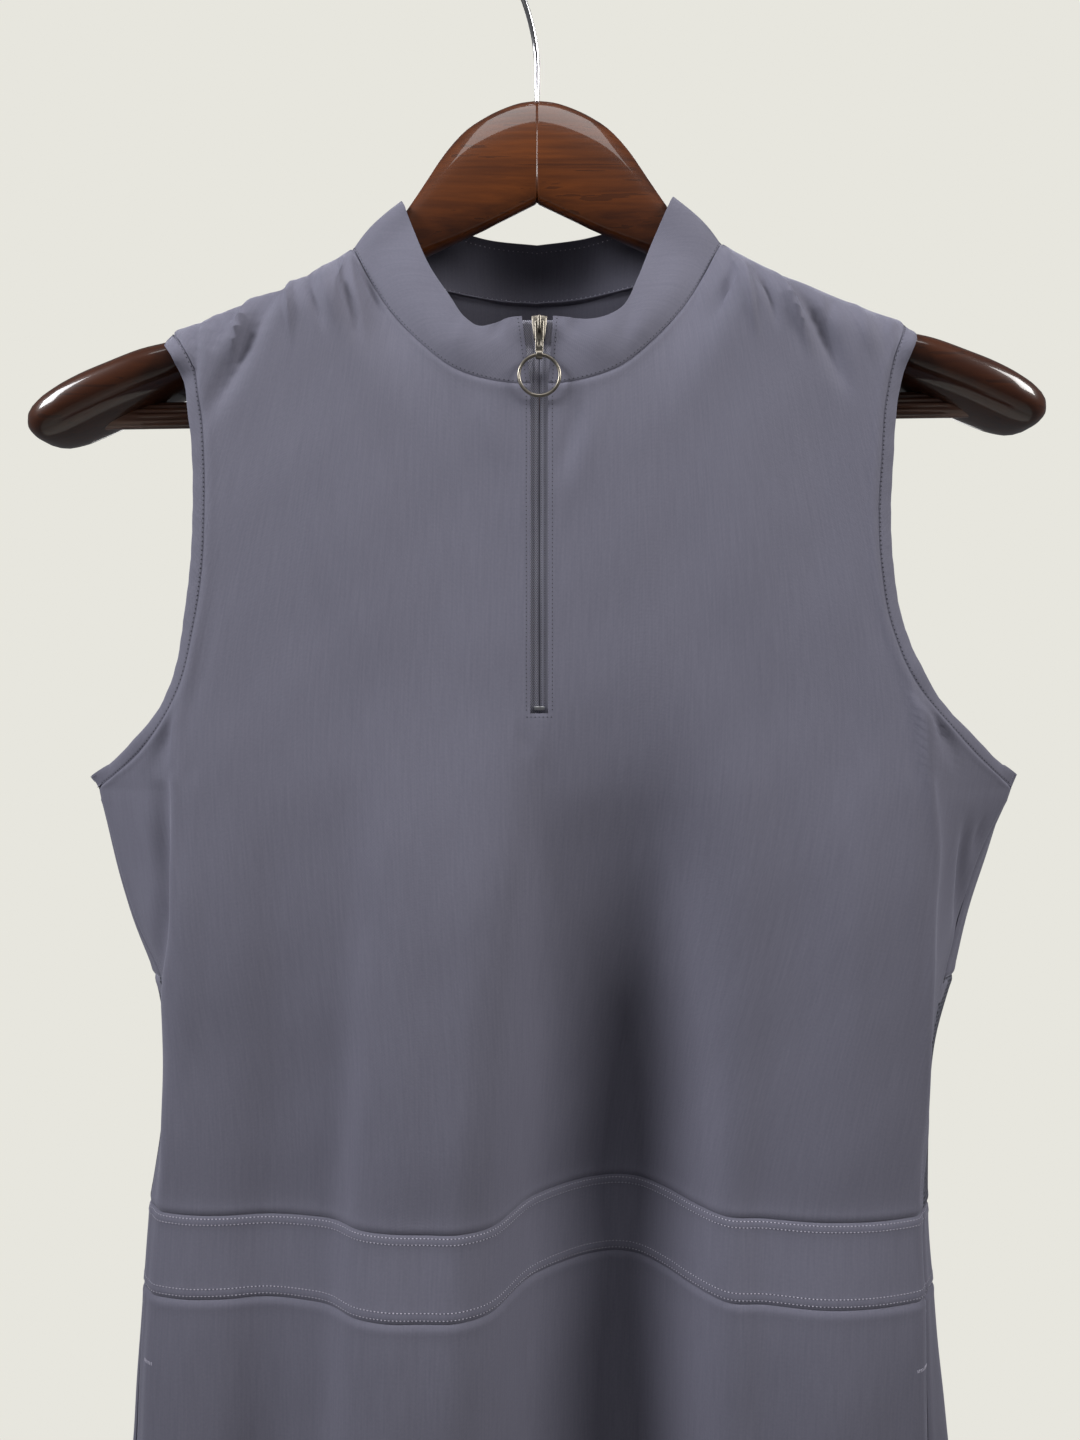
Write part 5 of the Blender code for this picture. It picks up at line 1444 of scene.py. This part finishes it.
# A round pin across the zip
def addPin(centre, radius, length):
    bpy.ops.object.select_all(action="DESELECT")
    bpy.ops.mesh.primitive_cylinder_add(vertices=32, radius=radius * mm, depth=length * mm,
                                        location=tuple(c * mm for c in centre),
                                        rotation=(0, math.radians(90), 0))
    bpy.ops.object.transform_apply(location=True, rotation=True, scale=True)
    return bpy.context.active_object


# A small hard part's last steps
def endHard(obj, *finish):
    onlyThis(obj)
    bpy.ops.object.shade_smooth_by_angle(angle=math.radians(40))
    return endPiece(obj, *finish)


def joined(obj, other, operation):
    onlyThis(obj)
    step = obj.modifiers.new("join", "BOOLEAN")
    step.operation, step.solver, step.object = operation, "EXACT", other
    bpy.ops.object.modifier_apply(modifier="join")
    bpy.data.objects.remove(other, do_unlink=True)
    return obj


# The slider's plate narrows to its tail, with flanges at both sides and an arch for the link
def makeSlider():
    z = zipSizes
    middleZ = z["sliderTop"] - 0.5 * z["sliderHigh"]
    back = zipY(middleZ) + z["setback"] - 0.35
    body = addBlock("zipSlider", (z["middle"], back - 0.5 * z["sliderDeep"], middleZ),
                    (z["sliderWide"], z["sliderDeep"], z["sliderHigh"]))
    onlyThis(body)
    bpy.ops.object.mode_set(mode="EDIT")
    bpy.ops.mesh.select_all(action="SELECT")
    bpy.ops.mesh.subdivide(number_cuts=5)
    bpy.ops.object.mode_set(mode="OBJECT")
    for v in body.data.vertices:  # waisted below its shoulders, crowned in front
        down = (z["sliderTop"] - v.co.z / mm) / z["sliderHigh"]
        out = (v.co.x / mm - z["middle"]) / (0.5 * z["sliderWide"])
        narrow = 1 - 0.34 * down**1.3 - 0.12 * max(0, 0.25 - down)
        v.co.x = (z["middle"] + (v.co.x / mm - z["middle"]) * narrow) * mm
        if v.co.y / mm < back - 0.6 * z["sliderDeep"]:
            v.co.y += (0.55 * out * out + 0.8 * max(0.0, 2 * abs(down - 0.5) - 0.55)) * mm
    bevelled(body, 0.35, 50)
    for side in (-1, 1):  # the channels through which the tapes run
        place = (z["middle"] + side * 3.6, back - 1.5, middleZ - 0.4)
        joined(body, addBlock("channel", place, (3.6, 0.9, 14.0), 0.3), "DIFFERENCE")
    joined(body, makeArch(back), "UNION")
    return endHard(body, agedBrass, "zip_slider", "aged_brass")


# The arch: a round-cornered strip over the slider, made from a block and a slot cut in it
def makeArch(back):
    z = zipSizes
    front, high, foot = z["linkY"] - 1.8, z["linkZ"] + 2.3, z["linkZ"] - 3.6
    root = back - z["sliderDeep"] + 0.6
    middle, centreZ = 0.5 * (front + root), 0.5 * (high + foot)
    arch = addBlock("arch", (z["middle"], middle, centreZ), (1.5, root - front, high - foot), 0.45)
    slot = addBlock("slot", (z["middle"], middle + 0.9, centreZ), (4.0, root - front, high - foot - 1.8), 0.4)
    return joined(arch, slot, "DIFFERENCE")


# The link: a flat strap with a long window over the arch, and a round eye for the ring
def makeLink():
    z = zipSizes
    top, foot = z["linkZ"] + 0.45, z["ringZ"] + 0.6
    half = 0.5 * (top + foot)
    link = addBlock("zipPullLink", (z["middle"], z["linkY"], half), (4.0, 0.9, top - foot), 0.38)
    for v in link.data.vertices:  # slimmer towards the ring
        down = (top - v.co.z / mm) / (top - foot)
        v.co.x = (z["middle"] + (v.co.x / mm - z["middle"]) * (1 - 0.22 * down**2)) * mm
    window = addBlock("window", (z["middle"], z["linkY"], z["linkZ"] - 0.45 - 2.7), (2.3, 4.0, 5.4), 0.5)
    joined(link, window, "DIFFERENCE")
    dimple = addBlock("dimple", (z["middle"], z["linkY"] - 0.62, half - 2.6), (1.7, 0.6, 3.0), 0.25)
    joined(link, dimple, "DIFFERENCE")
    eyePlace = (z["middle"], z["linkY"], z["ringZ"])
    joined(link, bevelled(addPin(eyePlace, z["eye"], z["eyeWide"]), 0.35), "UNION")
    joined(link, addPin(eyePlace, z["hole"], 9.0), "DIFFERENCE")
    return endHard(link, agedBrass, "zip_pull_link", "aged_brass", "pull_link")


# The ring is bent wire: its two ends meet in a fine groove at one side
def makeRing():
    z = zipSizes
    centreZ = z["ringZ"] - z["ring"]
    turns = [2 * math.pi * n / 120 for n in range(120)]
    path = [(z["middle"] + z["ring"] * math.sin(a), z["linkY"], centreZ + z["ring"] * math.cos(a))
            for a in turns]
    ring = makeWire("zipPullRing", path, z["ringWire"], agedBrass, "zip_pull_ring", "aged_brass", "pull_ring",
                    closed=True)
    for v in ring.data.vertices:
        x, y, h = v.co.x / mm - z["middle"], v.co.y / mm - z["linkY"], v.co.z / mm - centreZ
        near = math.exp(-((math.atan2(x, h) % (2 * math.pi) - z["groove"]) / 0.03) ** 2)
        out = math.hypot(x, h) - z["ring"]
        v.co.y -= 0.25 * near * y * mm
        v.co.x -= 0.25 * near * out * x / z["ring"] * mm
        v.co.z -= 0.25 * near * out * h / z["ring"] * mm
    return ring


# The end stop is a small clamp of steel with two teeth
def makeEndStop():
    z = zipSizes
    face = zipY(z["stopZ"]) + z["setback"] - 0.3
    clamp = addBlock("zipEndStop", (z["middle"], face - 0.45, z["stopZ"]), (4.4, 0.9, 1.6), 0.25)
    gap = addBlock("gap", (z["middle"] + 0.3, face - 0.9, z["stopZ"]), (0.5, 0.9, 3.0))
    joined(clamp, gap, "DIFFERENCE")
    return endHard(clamp, brightSteel, "zip_bottom_stop", "steel_stop")


makeSlider()
makeLink()
makeRing()
makeEndStop()
print("zip made")


# Camera, light and floor

view = {"place": (0.00134, -0.483, -0.3577), "lens": 27.04, "sensor": 36.0}
cameraData = bpy.data.cameras.new("camera")
cameraData.lens, cameraData.sensor_width = view["lens"], view["sensor"]
cameraData.clip_start, cameraData.clip_end = 0.01, 50
camera = bpy.data.objects.new("camera", cameraData)
camera.location = view["place"]
camera.rotation_euler = (math.radians(90), 0, 0)
bpy.context.scene.collection.objects.link(camera)
bpy.context.scene.camera = camera

# name: place, what it faces, size, power, spread in degrees, colour
softLights = {
    "sideRight": ((1.35, -0.68, 0.50), (0.0, 0.0, -0.24), 0.7, 4.0, 66, (1.0, 0.99, 0.97)),
    "sideLeft": ((-1.35, -0.68, 0.50), (0.0, 0.0, -0.24), 0.7, 5.2, 66, (0.97, 0.98, 1.0)),
    "top": ((0.0, -0.70, 1.10), (0.0, 0.0, -0.3), 0.9, 9.0, 180, (1.0, 1.0, 1.0)),
    "backGlow": ((0.0, 1.8, 0.40), (0.0, 0.0, -0.5), 1.6, 14.0, 180, (1.0, 0.99, 0.97)),
}
for name, (place, aim, size, power, spreadAngle, colour) in softLights.items():
    lampData = bpy.data.lights.new(name, "AREA")
    lampData.energy, lampData.size, lampData.color = power, size, colour
    lampData.spread = math.radians(spreadAngle)
    lamp = bpy.data.objects.new(name, lampData)
    lamp.location = place
    lamp.rotation_euler = (Vector(aim) - Vector(place)).to_track_quat("-Z", "Y").to_euler()
    bpy.context.scene.collection.objects.link(lamp)

# the wall that the camera sees, and the weaker light of the room that falls on the dress
studio = {"wall": (0.80, 0.79, 0.73), "room": (0.90, 0.91, 0.95), "roomLight": 0.11,
          "floorLow": (0.76, 0.75, 0.70), "floorHigh": (0.82, 0.81, 0.76), "floorSize": 1.9, "floorZ": -1.34}
world = bpy.data.worlds.new("studio")
world.use_nodes = True
bpy.context.scene.world = world
tree = world.node_tree
tree.nodes.clear()


def glowOf(colour, strength):
    node = tree.nodes.new("ShaderNodeBackground")
    node.inputs["Color"].default_value = (*colour, 1.0)
    node.inputs["Strength"].default_value = strength
    return node.outputs[0]


path = tree.nodes.new("ShaderNodeLightPath")
choose = tree.nodes.new("ShaderNodeMixShader")
out = tree.nodes.new("ShaderNodeOutputWorld")
tree.links.new(path.outputs["Is Camera Ray"], choose.inputs[0])
tree.links.new(glowOf(studio["room"], studio["roomLight"]), choose.inputs[1])
tree.links.new(glowOf(studio["wall"], 1.0), choose.inputs[2])
tree.links.new(choose.outputs[0], out.inputs["Surface"])

bpy.ops.object.select_all(action="DESELECT")
bpy.ops.mesh.primitive_plane_add(size=studio["floorSize"], location=(0, 0, studio["floorZ"]))
floor = bpy.context.active_object
floor.name = "paleFloor"
bpy.ops.object.transform_apply(location=True, rotation=True, scale=True)
floorMaterial, tree, shader = newMaterial("palePlaster", 0.9)
mottled = mixColour(tree, noiseNode(tree, objectOf(tree), 40.0, 4.0), studio["floorLow"], studio["floorHigh"])
tree.links.new(mottled, shader.inputs["Base Color"])
floor.data.materials.append(floorMaterial)
bpy.context.scene.view_settings.view_transform = "Standard"

print("scene ready")
